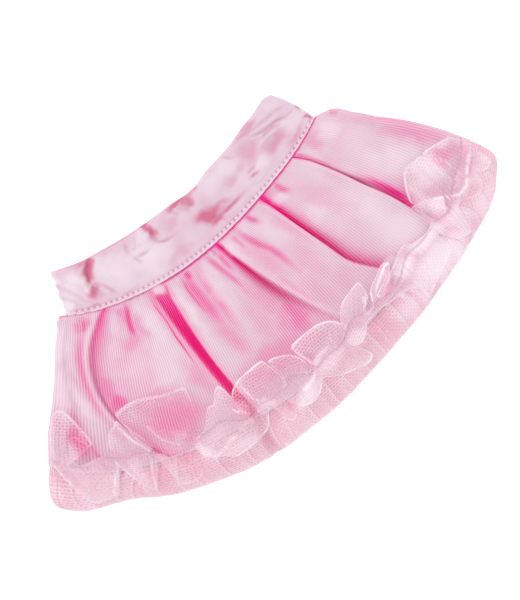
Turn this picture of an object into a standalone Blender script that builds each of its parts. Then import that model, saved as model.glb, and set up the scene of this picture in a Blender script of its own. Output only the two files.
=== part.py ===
"""A doll's tutu skirt, laid flat on its back: a satin waistband over a gathered net overskirt and
its satin lining, with a net flounce at the hem and a ruffle sewn over the flounce's seam.

The skirt lies on the XY plane with its waist towards +Y and its front up (+Z). A point of the
cloth is found from u, its share of the way across from the left side seam to the right one, and
v, its share of the way down from the waist seam (0) through the lining's hem (1) to the
flounce's edge (2). Sizes are in millimetres until they become mesh points.
"""

from collections import namedtuple
from math import cos, exp, pi, sin

import bmesh
import bpy
from mathutils import Vector

MM = 0.001

# Driving sizes.
CLOTH = 1.0  # wall of one layer of cloth
CASING = 2.3  # wall of the waistband: satin folded double round its elastic
GAP = 0.3  # clearance between neighbouring pieces and at butted seams
PITCH = CLOTH + GAP  # rise from one flat layer to the next
THICKEST = 2.0  # most that a wall's upright thickness grows where the cloth is steep
FRONT_LIFT = (0.40, 0.62)  # v between which the front rises over the ruffle under the back
BACK_LIFT = (0.70, 0.76)  # v between which the back rises onto that ruffle
RUFFLE_SEAM = 0.97  # v of the seam that gathers the ruffle
RUFFLE_REACH = 0.76  # v that the ruffle's free edge reaches, on average
RUFFLE_NOTCH = 0.90  # v of the free edge where two lobes meet
HEM_HEIGHT = 0.55  # of a pleat's height that is left at the flounce's edge
HEM_WAVE = 1.6  # height of the gathers along the flounce's edge
HEM_GATHERS = 19

# How many flat layers, the back's overskirt and lining, lie under the front's lining.
UNDER_FRONT_LINING = 2

# Curves across the skirt, from their left end to their right one. Each sags below the straight
# line between its ends, a little more on its right half by its skew, and is rounder towards its
# ends than a parabola by its fullness.
Section = namedtuple("Section", "left_x left_y right_x right_y sag skew fullness")
BAND_TOP = Section(-63.5, 59.3, 61.2, 63.7, sag=9.8, skew=0.6, fullness=0.0)
BAND_MIDDLE = Section(-67.4, 50.8, 66.4, 53.8, sag=12.8, skew=0.9, fullness=0.15)
WAIST = Section(-70.5, 40.6, 70.2, 44.3, sag=16.2, skew=1.1, fullness=0.3)
HIP = Section(-84.5, 26.5, 89.7, 32.8, sag=27.4, skew=1.2, fullness=0.3)
THIGH = Section(-99.5, 10.0, 105.2, 14.2, sag=34.6, skew=1.4, fullness=0.5)
LINING_HEM = Section(-115.2, -8.5, 117.8, -6.0, sag=39.4, skew=1.8, fullness=0.8)
FLOUNCE_MIDDLE = Section(-123.8, -19.5, 123.8, -14.0, sag=39.8, skew=1.3, fullness=0.6)
HEM = Section(-121.5, -27.5, 121.5, -20.5, sag=39.5, skew=0.9, fullness=0.6)

# The valleys between the front's pleats, by their u at the waist, half way down and at the hem.
Valley = namedtuple("Valley", "waist middle hem")
VALLEYS = (
    Valley(0.000, 0.000, 0.000),
    Valley(0.036, 0.034, 0.072),
    Valley(0.100, 0.086, 0.180),
    Valley(0.288, 0.326, 0.360),
    Valley(0.514, 0.552, 0.600),
    Valley(0.721, 0.704, 0.745),
    Valley(0.878, 0.866, 0.862),
    Valley(1.000, 1.000, 1.000),
)

# The pleats between those valleys: their height, the lean of their crest (1 in the middle, more
# towards the right), how many columns of the mesh they take, and a soft dent at a share of their
# width, as a share of their height.
Pleat = namedtuple("Pleat", "height lean columns dent_at dent")
PLEATS = (
    Pleat(height=3.0, lean=0.8, columns=4, dent_at=0.5, dent=0.0),
    Pleat(height=5.0, lean=1.0, columns=6, dent_at=0.5, dent=0.0),
    Pleat(height=11.0, lean=1.3, columns=10, dent_at=0.30, dent=0.22),
    Pleat(height=11.0, lean=0.8, columns=9, dent_at=0.42, dent=0.30),
    Pleat(height=11.5, lean=1.0, columns=9, dent_at=0.45, dent=0.20),
    Pleat(height=12.0, lean=1.3, columns=9, dent_at=0.62, dent=0.10),
    Pleat(height=12.0, lean=1.1, columns=9, dent_at=0.40, dent=0.12),
)
DENT_WIDTH = 0.13  # of a pleat's width
STEEPNESS = 0.68  # below 1 the pleats' sides stand up and their tops are flat

# The front ruffle's lobes from left to right: the u at which each ends, the v that its free edge
# reaches, and its height over the overskirt.
Lobe = namedtuple("Lobe", "ends_at reach height")
LOBES = (
    Lobe(ends_at=0.055, reach=0.88, height=4.5),
    Lobe(ends_at=0.100, reach=0.82, height=5.0),
    Lobe(ends_at=0.260, reach=0.62, height=4.0),
    Lobe(ends_at=0.335, reach=0.74, height=7.0),
    Lobe(ends_at=0.435, reach=0.72, height=8.0),
    Lobe(ends_at=0.497, reach=0.76, height=7.0),
    Lobe(ends_at=0.605, reach=0.77, height=6.5),
    Lobe(ends_at=0.688, reach=0.78, height=8.0),
    Lobe(ends_at=0.752, reach=0.83, height=7.0),
    Lobe(ends_at=0.865, reach=0.86, height=6.0),
    Lobe(ends_at=0.985, reach=0.68, height=7.5),
    Lobe(ends_at=1.001, reach=0.88, height=3.0),
)

# Soft folds in the front waistband: where each runs from and to, as u at the seam and at the
# top, its half width in u, and its height.
BandFold = namedtuple("BandFold", "seam_u top_u half_width height")
BAND_FOLDS = (
    BandFold(seam_u=0.06, top_u=0.02, half_width=0.030, height=0.9),
    BandFold(seam_u=0.17, top_u=0.12, half_width=0.028, height=1.6),
    BandFold(seam_u=0.29, top_u=0.26, half_width=0.035, height=0.8),
    BandFold(seam_u=0.45, top_u=0.36, half_width=0.030, height=1.0),
    BandFold(seam_u=0.58, top_u=0.52, half_width=0.050, height=0.9),
    BandFold(seam_u=0.70, top_u=0.76, half_width=0.040, height=1.0),
    BandFold(seam_u=0.86, top_u=0.93, half_width=0.045, height=1.3),
)

# Rows of the front's mesh, counted from the waist seam (0) through the ruffle's free edge (1)
# and its seam (2) to the lining's hem (3), and the v of the rows of the other pieces.
FRONT_ROWS = (0.0, 0.1, 0.26, 0.48, 0.7, 0.86, 1.0, 1.5, 2.0, 3.0)
BACK_ROWS = (0.0, 0.36, *BACK_LIFT, RUFFLE_SEAM, 1.0)
RUFFLE_BACK_ROWS = (BACK_LIFT[1], 0.86, RUFFLE_SEAM)
FLOUNCE_ROWS = (1.0, 1.45, 2.0)
BAND_ROWS = (1.0, 0.72, 0.4, 0.0)
FLAT_COLUMNS = 32  # of the back pieces and the waistband

# Base colour and roughness of each cloth.
Finish = namedtuple("Finish", "red green blue roughness")
FINISHES = {
    "band_satin": Finish(0.88, 0.70, 0.79, 0.35),
    "lining_satin": Finish(0.86, 0.22, 0.50, 0.45),
    "skirt_net": Finish(0.86, 0.58, 0.72, 0.70),
    "trim_net": Finish(0.88, 0.76, 0.81, 0.75),
}


def clear_scene():
    """Removes the startup scene's objects."""
    for old in list(bpy.data.objects):
        bpy.data.objects.remove(old)


def lerp(a, b, share):
    """The value that share of the way from a to b."""
    return a + (b - a) * share


def smooth(low, high, x):
    """0 below low, 1 above high, and a smooth rise between them."""
    t = min(1.0, max(0.0, (x - low) / (high - low)))
    return t * t * (3.0 - 2.0 * t)


def across(section, u):
    """The plan point that share u of the way across a section, which hangs between its ends."""
    fullness = 1.0 + section.fullness * (2.0 * u - 1.0) ** 4
    hang = 4.0 * u * (1.0 - u) * section.sag * fullness + sin(2.0 * pi * u) * section.skew
    return Vector(
        (
            lerp(section.left_x, section.right_x, u),
            lerp(section.left_y, section.right_y, u) - hang,
        )
    )


def through(sections, share, u):
    """The plan point on the smooth surface through evenly spaced sections (Lagrange's formula)."""
    places = [i / (len(sections) - 1) for i in range(len(sections))]
    point = Vector((0.0, 0.0))
    for here, section in zip(places, sections):
        weight = 1.0
        for other in places:
            if other != here:
                weight *= (share - other) / (here - other)
        point += across(section, u) * weight
    return point


def skirt_plan(u, v):
    """The plan point of the skirt (v up to 1) or of its flounce (v from 1 to 2)."""
    if v <= 1.0:
        return through((WAIST, HIP, THIGH, LINING_HEM), v, u)
    return through((LINING_HEM, FLOUNCE_MIDDLE, HEM), v - 1.0, u)


def seam_gap(section, u):
    """A step of the clearance at a butted seam, square to the seam and towards the waist."""
    along = across(section, u + 0.01) - across(section, u - 0.01)
    return GAP * Vector((-along.y, along.x)).normalized()


def band_plan(u, w):
    """The plan point of the waistband, from its seam (w = 0) to its top fold (w = 1)."""
    return through((WAIST, BAND_MIDDLE, BAND_TOP), w, u) + seam_gap(WAIST, u) * (1.0 - w)


def flounce_plan(u, v):
    """The plan point of the flounce, from its seam (v = 1) to its edge (v = 2)."""
    return skirt_plan(u, v) - seam_gap(LINING_HEM, u) * (2.0 - v)


def valley_u(valley, v):
    """Where a valley is at v, on the parabola through its three places."""
    v = min(v, 1.0)
    bend = 4.0 * v * (1.0 - v) * (valley.middle - 0.5 * (valley.waist + valley.hem))
    return lerp(valley.waist, valley.hem, v) + bend


def front_columns():
    """The front's mesh columns as (pleat number, share of its width), closer at the valleys."""
    columns = [(0, 0.0)]
    for number, pleat in enumerate(PLEATS):
        for step in range(1, pleat.columns + 1):
            columns.append((number, 0.5 - 0.5 * cos(pi * step / pleat.columns)))
    return columns


def column_u(column, v):
    """The u of a front column at v."""
    number, share = column
    return lerp(valley_u(VALLEYS[number], v), valley_u(VALLEYS[number + 1], v), share)


def pleat_height(column, v):
    """How high the front stands over its valleys, from nothing at the waist seam."""
    number, share = column
    pleat = PLEATS[number]
    leaning = share**pleat.lean
    arch = max(0.0, 4.0 * leaning * (1.0 - leaning)) ** STEEPNESS
    dent = 1.0 - pleat.dent * exp(-(((share - pleat.dent_at) / DENT_WIDTH) ** 2))
    loft = (1.0 - (1.0 - min(v, 1.0)) ** 4) * (1.0 - 0.25 * smooth(0.5, 1.0, v))
    return pleat.height * arch * dent * loft


def lobe_at(u):
    """The ruffle lobe at u, and the share of its width to the left of u."""
    start = 0.0
    for lobe in LOBES:
        if u < lobe.ends_at:
            return lobe, max(0.0, u - start) / (lobe.ends_at - start)
        start = lobe.ends_at
    return LOBES[-1], 1.0


def free_edge(u):
    """The v of the ruffle's free edge."""
    lobe, share = lobe_at(u)
    return lerp(RUFFLE_NOTCH, lobe.reach, sin(pi * share) ** 0.6)


def front_v(row, u):
    """The v of a row of the front's mesh, whose rows follow the ruffle's free edge."""
    edge = free_edge(u)
    if row <= 1.0:
        return RUFFLE_REACH * row + (edge - RUFFLE_REACH) * row**4
    if row <= 2.0:
        return lerp(edge, RUFFLE_SEAM, row - 1.0)
    return lerp(RUFFLE_SEAM, 1.0, row - 2.0)


def back_lift(v):
    """How far the back is lifted by the ruffle that lies pressed under it."""
    return PITCH * smooth(*BACK_LIFT, v)


def grid(columns, rows, place):
    """The points place(column, row) of a sheet, row by row."""
    return [[place(column, row) for column in columns] for row in rows]


def with_middles(line):
    """A line of points or numbers with the middle of each stretch added."""
    longer = [line[0]]
    for a, b in zip(line, line[1:]):
        longer += [(a + b) / 2.0, b]
    return longer


def halved(points):
    """A sheet with the middles of its cells and of their sides added.

    A cell's middle is taken on the diagonal that splits it in wall(), so all that is added lies
    on the old sheet's triangles.
    """
    rows = [with_middles(points[0])]
    for upper, lower in zip(points, points[1:]):
        between = [(upper[0] + lower[0]) / 2.0]
        for i in range(1, len(upper)):
            between += [(upper[i - 1] + lower[i]) / 2.0, (upper[i] + lower[i]) / 2.0]
        rows += [between, with_middles(lower)]
    return rows


def steepness(points):
    """For each point of a sheet, how much taller than square to the cloth its wall stands.

    It is worked out from the steepest of the cells that meet at the point.
    """
    rows, columns = len(points), len(points[0])
    factors = [[1.0] * columns for _ in range(rows)]
    for j in range(rows - 1):
        for i in range(columns - 1):
            one = points[j + 1][i + 1] - points[j][i]
            other = points[j][i + 1] - points[j + 1][i]
            normal = one.cross(other)
            factor = min(THICKEST, normal.length / max(abs(normal.z), 1e-9))
            for l, k in ((j, i), (j, i + 1), (j + 1, i), (j + 1, i + 1)):
                factors[l][k] = max(factors[l][k], factor)
    return factors


def raised(points, factors, height):
    """The sheet moved up by a height measured square to the cloth."""
    return [
        [p + Vector((0.0, 0.0, height * f)) for p, f in zip(*pair)]
        for pair in zip(points, factors)
    ]


def finish_material(name):
    """The Principled material of one of the cloths."""
    finish = FINISHES[name]
    material = bpy.data.materials.get(name) or bpy.data.materials.new(name)
    material.use_nodes = True
    shader = material.node_tree.nodes["Principled BSDF"]
    shader.inputs["Base Color"].default_value = (finish.red, finish.green, finish.blue, 1.0)
    shader.inputs["Roughness"].default_value = finish.roughness
    shader.inputs["Metallic"].default_value = 0.0
    return material


def wall(name, under, over, material_name):
    """One named solid between two sheets of the same rows and columns, closed round its rim.

    Every cell is split along the same diagonal, so that sheets made one over another from the
    same points can't cross between their points.
    """
    shape = bmesh.new()
    low = [[shape.verts.new(p * MM) for p in row] for row in under]
    high = [[shape.verts.new(p * MM) for p in row] for row in over]
    rows, columns = len(low), len(low[0])
    for j in range(rows - 1):
        for i in range(columns - 1):
            for sheet, turn in ((high, 1), (low, -1)):
                a, b = sheet[j][i], sheet[j][i + 1]
                c, d = sheet[j + 1][i + 1], sheet[j + 1][i]
                for corners in ((a, d, c), (a, c, b)):
                    shape.faces.new(corners[::turn])
    rim = [(0, i) for i in range(columns - 1)]
    rim += [(j, columns - 1) for j in range(rows - 1)]
    rim += [(rows - 1, i) for i in range(columns - 1, 0, -1)]
    rim += [(j, 0) for j in range(rows - 1, 0, -1)]
    for (j, i), (l, k) in zip(rim, rim[1:] + rim[:1]):
        shape.faces.new((high[j][i], high[l][k], low[l][k], low[j][i]))
    mesh = bpy.data.meshes.new(name)
    shape.to_mesh(mesh)
    shape.free()
    mesh.materials.append(finish_material(material_name))
    solid = bpy.data.objects.new(name, mesh)
    bpy.context.scene.collection.objects.link(solid)
    return solid


def front_point(column, row):
    """The front lining's underside, on the back at its valleys and arched between them."""
    v = front_v(row, column_u(column, RUFFLE_REACH))
    lift = PITCH * smooth(*FRONT_LIFT, v)
    height = UNDER_FRONT_LINING * PITCH + lift + pleat_height(column, v)
    return Vector((*skirt_plan(column_u(column, v), v), height))


def make_front():
    """The front lining and the net overskirt on it, pleat for pleat."""
    underside = grid(front_columns(), FRONT_ROWS, front_point)
    factors = steepness(underside)
    levels = [raised(underside, factors, h) for h in (0.0, CLOTH, PITCH, PITCH + CLOTH)]
    wall("lining_front", levels[0], levels[1], "lining_satin")
    wall("overskirt_front", levels[2], levels[3], "skirt_net")
    return levels[3]


def ruffle_rise(point_u, share):
    """How high the front ruffle stands over the overskirt, share of the way up from its seam."""
    lobe, place = lobe_at(point_u)
    return lobe.height * sin(pi * place) * (1.0 - (1.0 - share) ** 2)


def make_front_ruffle(overskirt_top):
    """The ruffle: a gathered net strip sewn near the hem, standing in lobes towards the waist."""
    first, last = FRONT_ROWS.index(1.0), FRONT_ROWS.index(2.0)
    seat = halved(overskirt_top[first : last + 1])
    seat = raised(seat, steepness(seat), GAP)
    us = with_middles([column_u(column, RUFFLE_REACH) for column in front_columns()])
    under = []
    for j, line in enumerate(seat):
        share = 1.0 - j / (len(seat) - 1)
        rises = [Vector((0.0, 0.0, ruffle_rise(u, share))) for u in us]
        under.append([point + rise for point, rise in zip(line, rises)])
    wall("ruffle_front", under, raised(under, steepness(under), CLOTH), "trim_net")


def make_front_flounce():
    """The flounce: it carries the pleats on from the lining's hem, lower and in small gathers."""

    def place(column, v):
        fall = smooth(1.0, 2.0, v)
        u = column_u(column, 1.0)
        gather = HEM_WAVE * (0.5 - 0.5 * cos(2.0 * pi * HEM_GATHERS * u))
        arch = pleat_height(column, 1.0)
        over_hem = (UNDER_FRONT_LINING + 1) * PITCH + arch
        height = lerp(over_hem, PITCH + HEM_HEIGHT * arch + gather, fall)
        return Vector((*flounce_plan(u, v), height))

    under = grid(front_columns(), FLOUNCE_ROWS, place)
    wall("flounce_front", under, raised(under, steepness(under), CLOTH), "trim_net")


def make_back():
    """The back, lying flat: net overskirt and lining, with the ruffle pressed under them."""
    columns = [i / FLAT_COLUMNS for i in range(FLAT_COLUMNS + 1)]

    def layer(rows, under):
        return grid(columns, rows, lambda u, v: Vector((*skirt_plan(u, v), under(v))))

    def flat_wall(name, rows, under, material_name):
        low = layer(rows, under)
        wall(name, low, layer(rows, lambda v: under(v) + CLOTH), material_name)

    flat_wall("overskirt_back", BACK_ROWS, back_lift, "skirt_net")
    flat_wall("lining_back", BACK_ROWS, lambda v: PITCH + back_lift(v), "lining_satin")
    flat_wall("ruffle_back", RUFFLE_BACK_ROWS, lambda v: 0.0, "trim_net")
    low = grid(columns, FLOUNCE_ROWS, lambda u, v: Vector((*flounce_plan(u, v), 0.0)))
    top = [[p + Vector((0.0, 0.0, CLOTH)) for p in row] for row in low]
    wall("flounce_back", low, top, "trim_net")


def band_fold(u, w):
    """How high the front waistband's soft folds stand; they die out at its seam."""
    height = 0.0
    for fold in BAND_FOLDS:
        off = (u - lerp(fold.seam_u, fold.top_u, w)) / fold.half_width
        height = max(height, fold.height * exp(-off * off))
    return height * smooth(0.0, 0.45, w)


def make_band():
    """The waistband: a front and a back casing that lie on each other."""
    columns = [i / FLAT_COLUMNS for i in range(FLAT_COLUMNS + 1)]

    def sheet(height, folded):
        def place(u, w):
            return Vector((*band_plan(u, w), height + (band_fold(u, w) if folded else 0.0)))

        return grid(columns, BAND_ROWS, place)

    wall("waistband_back", sheet(0.0, False), sheet(CASING, False), "band_satin")
    seat = CASING + GAP
    wall("waistband_front", sheet(seat, True), sheet(seat + CASING, True), "band_satin")


def main():
    clear_scene()
    overskirt_top = make_front()
    make_front_ruffle(overskirt_top)
    make_front_flounce()
    make_back()
    make_band()


main()
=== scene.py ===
"""The looks of a doll's tutu skirt, laid flat: satin waistband, gathered net overskirt over a
satin lining, net flounce and lobed net ruffle, with a plain stage round it.

It is laid out as an add-on and run as a script. The skirt lies on the XY plane with its waist
towards +Y. Sizes and places in the tables are in millimetres; u is the share of the way across
the skirt from the left, and v the share of the way down from the waist seam (0) through the
lining's hem (1) to the flounce's edge (2).
"""

from collections import namedtuple
from math import pi, radians

import bpy
import numpy as np
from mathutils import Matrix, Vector
from mathutils.bvhtree import BVHTree


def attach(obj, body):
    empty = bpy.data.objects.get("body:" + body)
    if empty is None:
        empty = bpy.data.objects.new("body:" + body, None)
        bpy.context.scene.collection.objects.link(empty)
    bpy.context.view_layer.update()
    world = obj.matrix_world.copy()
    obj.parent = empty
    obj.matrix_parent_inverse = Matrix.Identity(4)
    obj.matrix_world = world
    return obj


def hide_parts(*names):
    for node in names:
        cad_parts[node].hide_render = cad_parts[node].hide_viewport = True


bl_info = {
    "name": "Doll's tutu skirt",
    "version": (1, 0, 0),
    "blender": (4, 5, 0),
    "location": "3D View > Sidebar > Tutu",
    "description": "Builds the cloth, the stitching and the stage of a doll's tutu skirt",
    "category": "Object",
}

MM = 0.001
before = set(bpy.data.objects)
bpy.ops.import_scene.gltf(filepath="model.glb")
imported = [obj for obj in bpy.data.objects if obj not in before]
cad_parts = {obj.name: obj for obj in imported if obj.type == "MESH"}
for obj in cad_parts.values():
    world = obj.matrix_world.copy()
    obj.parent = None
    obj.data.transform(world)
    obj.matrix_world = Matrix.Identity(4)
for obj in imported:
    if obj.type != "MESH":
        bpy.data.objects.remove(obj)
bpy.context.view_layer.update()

# ---------------------------------------------------------------------------------------------
# Numbers and tables


def table(kind, *rows):
    """A table whose rows have the named columns of a kind."""
    return tuple(kind(*row) for row in rows)


def lerp(a, b, share):
    """The value that share of the way from a to b."""
    return a + (b - a) * share


def smooth(low, high, x):
    """0 below low, 1 above high, and a smooth rise between them."""
    t = np.clip((x - low) / (high - low), 0.0, 1.0)
    return t * t * (3.0 - 2.0 * t)


def eased_line(values, reach):
    """Values along a line, each averaged with its neighbours up to reach steps away."""
    weights = np.hanning(2 * reach + 3)[1:-1]
    padded = np.concatenate([values[:1].repeat(reach, 0), values, values[-1:].repeat(reach, 0)])
    columns = [np.convolve(c, weights / weights.sum(), mode="valid") for c in padded.T]
    return np.stack(columns, axis=-1)


# ---------------------------------------------------------------------------------------------
# Settings


def colour_property(name, colour):
    """A colour setting."""
    return bpy.props.FloatVectorProperty(
        name=name, description=name, subtype="COLOR", size=4, min=0.0, max=1.0, default=colour
    )


def length_property(name, length):
    """A length setting, in metres."""
    return bpy.props.FloatProperty(
        name=name, description=name, subtype="DISTANCE", unit="LENGTH", default=length, precision=5
    )


class TutuSizes(bpy.types.PropertyGroup):
    """Sizes of the cloth that a user might change."""

    net_pitch: length_property("Distance between the net's holes", 0.0013)
    rib_pitch: length_property("Distance between the overskirt's ribs", 0.0014)
    net_thickness: length_property("Thickness of the net", 0.00018)
    satin_thickness: length_property("Thickness of the satin", 0.0003)
    stitch_pitch: length_property("Length of a stitch with its gap", 0.0025)


class TutuColours(bpy.types.PropertyGroup):
    """Colours of the cloth and of the stage."""

    band: colour_property("Waistband satin", (0.76, 0.60, 0.70, 1.0))
    # Painted highlight colour of the waistband.
    band_highlight: colour_property("Waistband satin where it is raised", (0.85, 0.80, 0.84, 1.0))
    band_shade: colour_property("Waistband satin in its creases", (0.64, 0.15, 0.27, 1.0))
    lining: colour_property("Lining satin", (0.97, 0.14, 0.42, 1.0))
    # Painted shade colour in the lining's folds; it also gives off painted light.
    lining_deep: colour_property("Lining satin in its folds", (0.90, 0.01, 0.34, 1.0))
    overskirt: colour_property("Overskirt net", (0.865, 0.69, 0.78, 1.0))
    # Painted shade colour in the overskirt's folds; it also gives off painted light.
    overskirt_deep: colour_property("Overskirt net in its folds", (0.80, 0.03, 0.33, 1.0))
    trim: colour_property("Flounce and ruffle net", (0.88, 0.79, 0.835, 1.0))
    trim_shade: colour_property("Flounce and ruffle net in its folds", (0.80, 0.20, 0.38, 1.0))
    thread: colour_property("Sewing thread", (0.93, 0.82, 0.88, 1.0))
    floor: colour_property("Floor", (0.82, 0.82, 0.82, 1.0))


def sizes():
    """The scene's sizes."""
    return bpy.context.scene.tutu_sizes


def colours():
    """The scene's colours."""
    return bpy.context.scene.tutu_colours


# ---------------------------------------------------------------------------------------------
# Mesh helpers


def deselect_all():
    """Leaves nothing selected, so that an operator acts only on what comes next."""
    for thing in bpy.context.selected_objects:
        thing.select_set(False)


def make_active(thing):
    """Selects one object and makes it the active one."""
    deselect_all()
    thing.select_set(True)
    bpy.context.view_layer.objects.active = thing


def grid_sheet(name, columns, rows):
    """A grid primitive of so many cells, and its points' shares of the way across and down."""
    deselect_all()
    bpy.ops.mesh.primitive_grid_add(x_subdivisions=columns, y_subdivisions=rows, size=2.0)
    sheet = bpy.context.object
    sheet.name = sheet.data.name = name
    flat = np.empty(len(sheet.data.vertices) * 3)
    sheet.data.vertices.foreach_get("co", flat)
    flat = flat.reshape(-1, 3)
    return sheet, (flat[:, 0] + 1.0) / 2.0, (1.0 - flat[:, 1]) / 2.0


def place_points(sheet, plan, z):
    """Moves a sheet's points to plan points and heights in millimetres."""
    points = np.concatenate([plan, z[:, None]], axis=1) * MM
    sheet.data.vertices.foreach_set("co", points.ravel())
    sheet.data.update()


def flat_uv(sheet, along, down):
    """Lays the UV map out as the cloth was cut, from millimetres to metres."""
    index = np.empty(len(sheet.data.loops), dtype=np.int32)
    sheet.data.loops.foreach_get("vertex_index", index)
    uv = np.stack([along[index], down[index]], axis=1) * MM
    sheet.data.uv_layers[0].data.foreach_set("uv", uv.ravel())


def paint(sheet, name, values):
    """Stores one number for each of a sheet's points."""
    attribute = sheet.data.attributes.new(name, "FLOAT", "POINT")
    attribute.data.foreach_set("value", np.asarray(values, dtype=np.float32))


def steepness(sheet):
    """How steeply each point's cloth stands: 0 where it lies flat, 1 where it is upright."""
    normals = np.empty(len(sheet.data.vertices) * 3)
    sheet.data.vertex_normals.foreach_get("vector", normals)
    return 1.0 - np.abs(normals.reshape(-1, 3)[:, 2])


def thicken(sheet, thickness):
    """Gives a sheet its cloth's thickness, half to each side, and smooth shading."""
    make_active(sheet)
    wall = sheet.modifiers.new("Cloth", "SOLIDIFY")
    wall.thickness = thickness
    wall.offset = 0.0
    bpy.ops.object.modifier_apply(modifier=wall.name)
    bpy.ops.object.shade_smooth()


def finish_piece(piece, thickness, node, material):
    """Makes a sheet the cloth that stands for a node: thick, with its material and its body."""
    thicken(piece, thickness)
    piece.data.materials.clear()
    piece.data.materials.append(material)
    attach(piece, "root")
    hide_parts(node)


# ---------------------------------------------------------------------------------------------
# Materials


def new_material(name, roughness):
    """A Principled material, its node tree and its shader."""
    material = bpy.data.materials.new(name)
    material.use_nodes = True
    tree = material.node_tree
    shader = tree.nodes["Principled BSDF"]
    shader.inputs["Roughness"].default_value = roughness
    return material, tree, shader


def feed(tree, socket, value):
    """Links a socket to another node's output, or sets it to a number or a colour."""
    if isinstance(value, bpy.types.NodeSocket):
        tree.links.new(value, socket)
    else:
        socket.default_value = value


def calculate(tree, operation, a, b=0.0, c=0.0):
    """The output of a Math node."""
    node = tree.nodes.new("ShaderNodeMath")
    node.operation = operation
    for socket, value in zip(node.inputs, (a, b, c)):
        feed(tree, socket, value)
    return node.outputs[0]


def blend_colours(tree, share, a, b):
    """The output of a colour Mix node."""
    node = tree.nodes.new("ShaderNodeMix")
    node.data_type = "RGBA"
    feed(tree, node.inputs["Factor"], share)
    feed(tree, node.inputs["A"], a)
    feed(tree, node.inputs["B"], b)
    return node.outputs["Result"]


def ease(tree, value, low, high, to_low=0.0, to_high=1.0):
    """A smooth step of a value from one range to another."""
    node = tree.nodes.new("ShaderNodeMapRange")
    node.interpolation_type = "SMOOTHSTEP"
    for name, x in (("From Min", low), ("From Max", high), ("To Min", to_low), ("To Max", to_high)):
        node.inputs[name].default_value = x
    feed(tree, node.inputs["Value"], value)
    return node.outputs["Result"]


def painted(tree, name):
    """The number painted on the piece's points under that name."""
    node = tree.nodes.new("ShaderNodeAttribute")
    node.attribute_name = name
    return node.outputs["Fac"]


def noise(tree, scale, detail=3.0):
    """Noise in the piece's own coordinates, from 0 to 1."""
    node = tree.nodes.new("ShaderNodeTexNoise")
    node.inputs["Scale"].default_value = scale
    node.inputs["Detail"].default_value = detail
    place = tree.nodes.new("ShaderNodeTexCoord").outputs["Object"]
    tree.links.new(place, node.inputs["Vector"])
    return node.outputs["Fac"]


def clamped(tree, value):
    """A value kept between 0 and 1."""
    node = tree.nodes.new("ShaderNodeClamp")
    feed(tree, node.inputs[0], value)
    return node.outputs[0]


def axes(tree, kind):
    """Where a point is, in metres: on the flat cloth ("UV") or in the skirt's plan ("Object")."""
    split = tree.nodes.new("ShaderNodeSeparateXYZ")
    tree.links.new(tree.nodes.new("ShaderNodeTexCoord").outputs[kind], split.inputs[0])
    return split.outputs["X"], split.outputs["Y"]


def bump(tree, height, distance, strength):
    """A Bump node's normal for a height from 0 to 1."""
    node = tree.nodes.new("ShaderNodeBump")
    node.inputs["Strength"].default_value = strength
    node.inputs["Distance"].default_value = distance
    feed(tree, node.inputs["Height"], height)
    return node.outputs["Normal"]


def net_threads(tree, pitch, rib, row, crosswise):
    """1 on the threads of a hexagonal net and 0 in its holes.

    Its lines of holes run down the cloth, or along it where crosswise. A high rib joins the holes
    of a line into one groove, and row is how close together they stand in it.
    """
    along, down = axes(tree, "UV")
    wobble = calculate(tree, "MULTIPLY", noise(tree, 160.0, 2.0), 0.8 * pitch)
    if crosswise:
        along, down = down, along
    x = calculate(tree, "MULTIPLY", calculate(tree, "ADD", along, wobble), 2.0 * pi / pitch)
    y = calculate(tree, "MULTIPLY", down, 2.0 * pi * 0.866 * row / pitch)
    half = calculate(tree, "MULTIPLY", x, 0.5)
    ribs = calculate(tree, "MULTIPLY", calculate(tree, "COSINE", x), 1.0 + rib)
    one = calculate(tree, "COSINE", calculate(tree, "ADD", half, y))
    other = calculate(tree, "COSINE", calculate(tree, "SUBTRACT", half, y))
    total = calculate(tree, "ADD", ribs, calculate(tree, "ADD", one, other))
    return ease(tree, total, 2.4 + rib, -1.4 - rib)


def painted_glow(tree, shader, colour, glow, at_least, strength):
    """Painted light: the cloth gives off light of its own colour, most where painted with shade."""
    share = calculate(tree, "MULTIPLY", glow, calculate(tree, "MULTIPLY_ADD", glow, -0.25, 1.15))
    light = calculate(tree, "MULTIPLY_ADD", share, strength, at_least)
    feed(tree, shader.inputs["Emission Color"], colour)
    feed(tree, shader.inputs["Emission Strength"], light)


# The net's paler colour: where it lies doubled, at its edges, fold lines and pale places, and
# as painted highlight on the overskirt's rims and light patches.
NET_EDGE = (0.88, 0.83, 0.865, 1.0)


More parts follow.
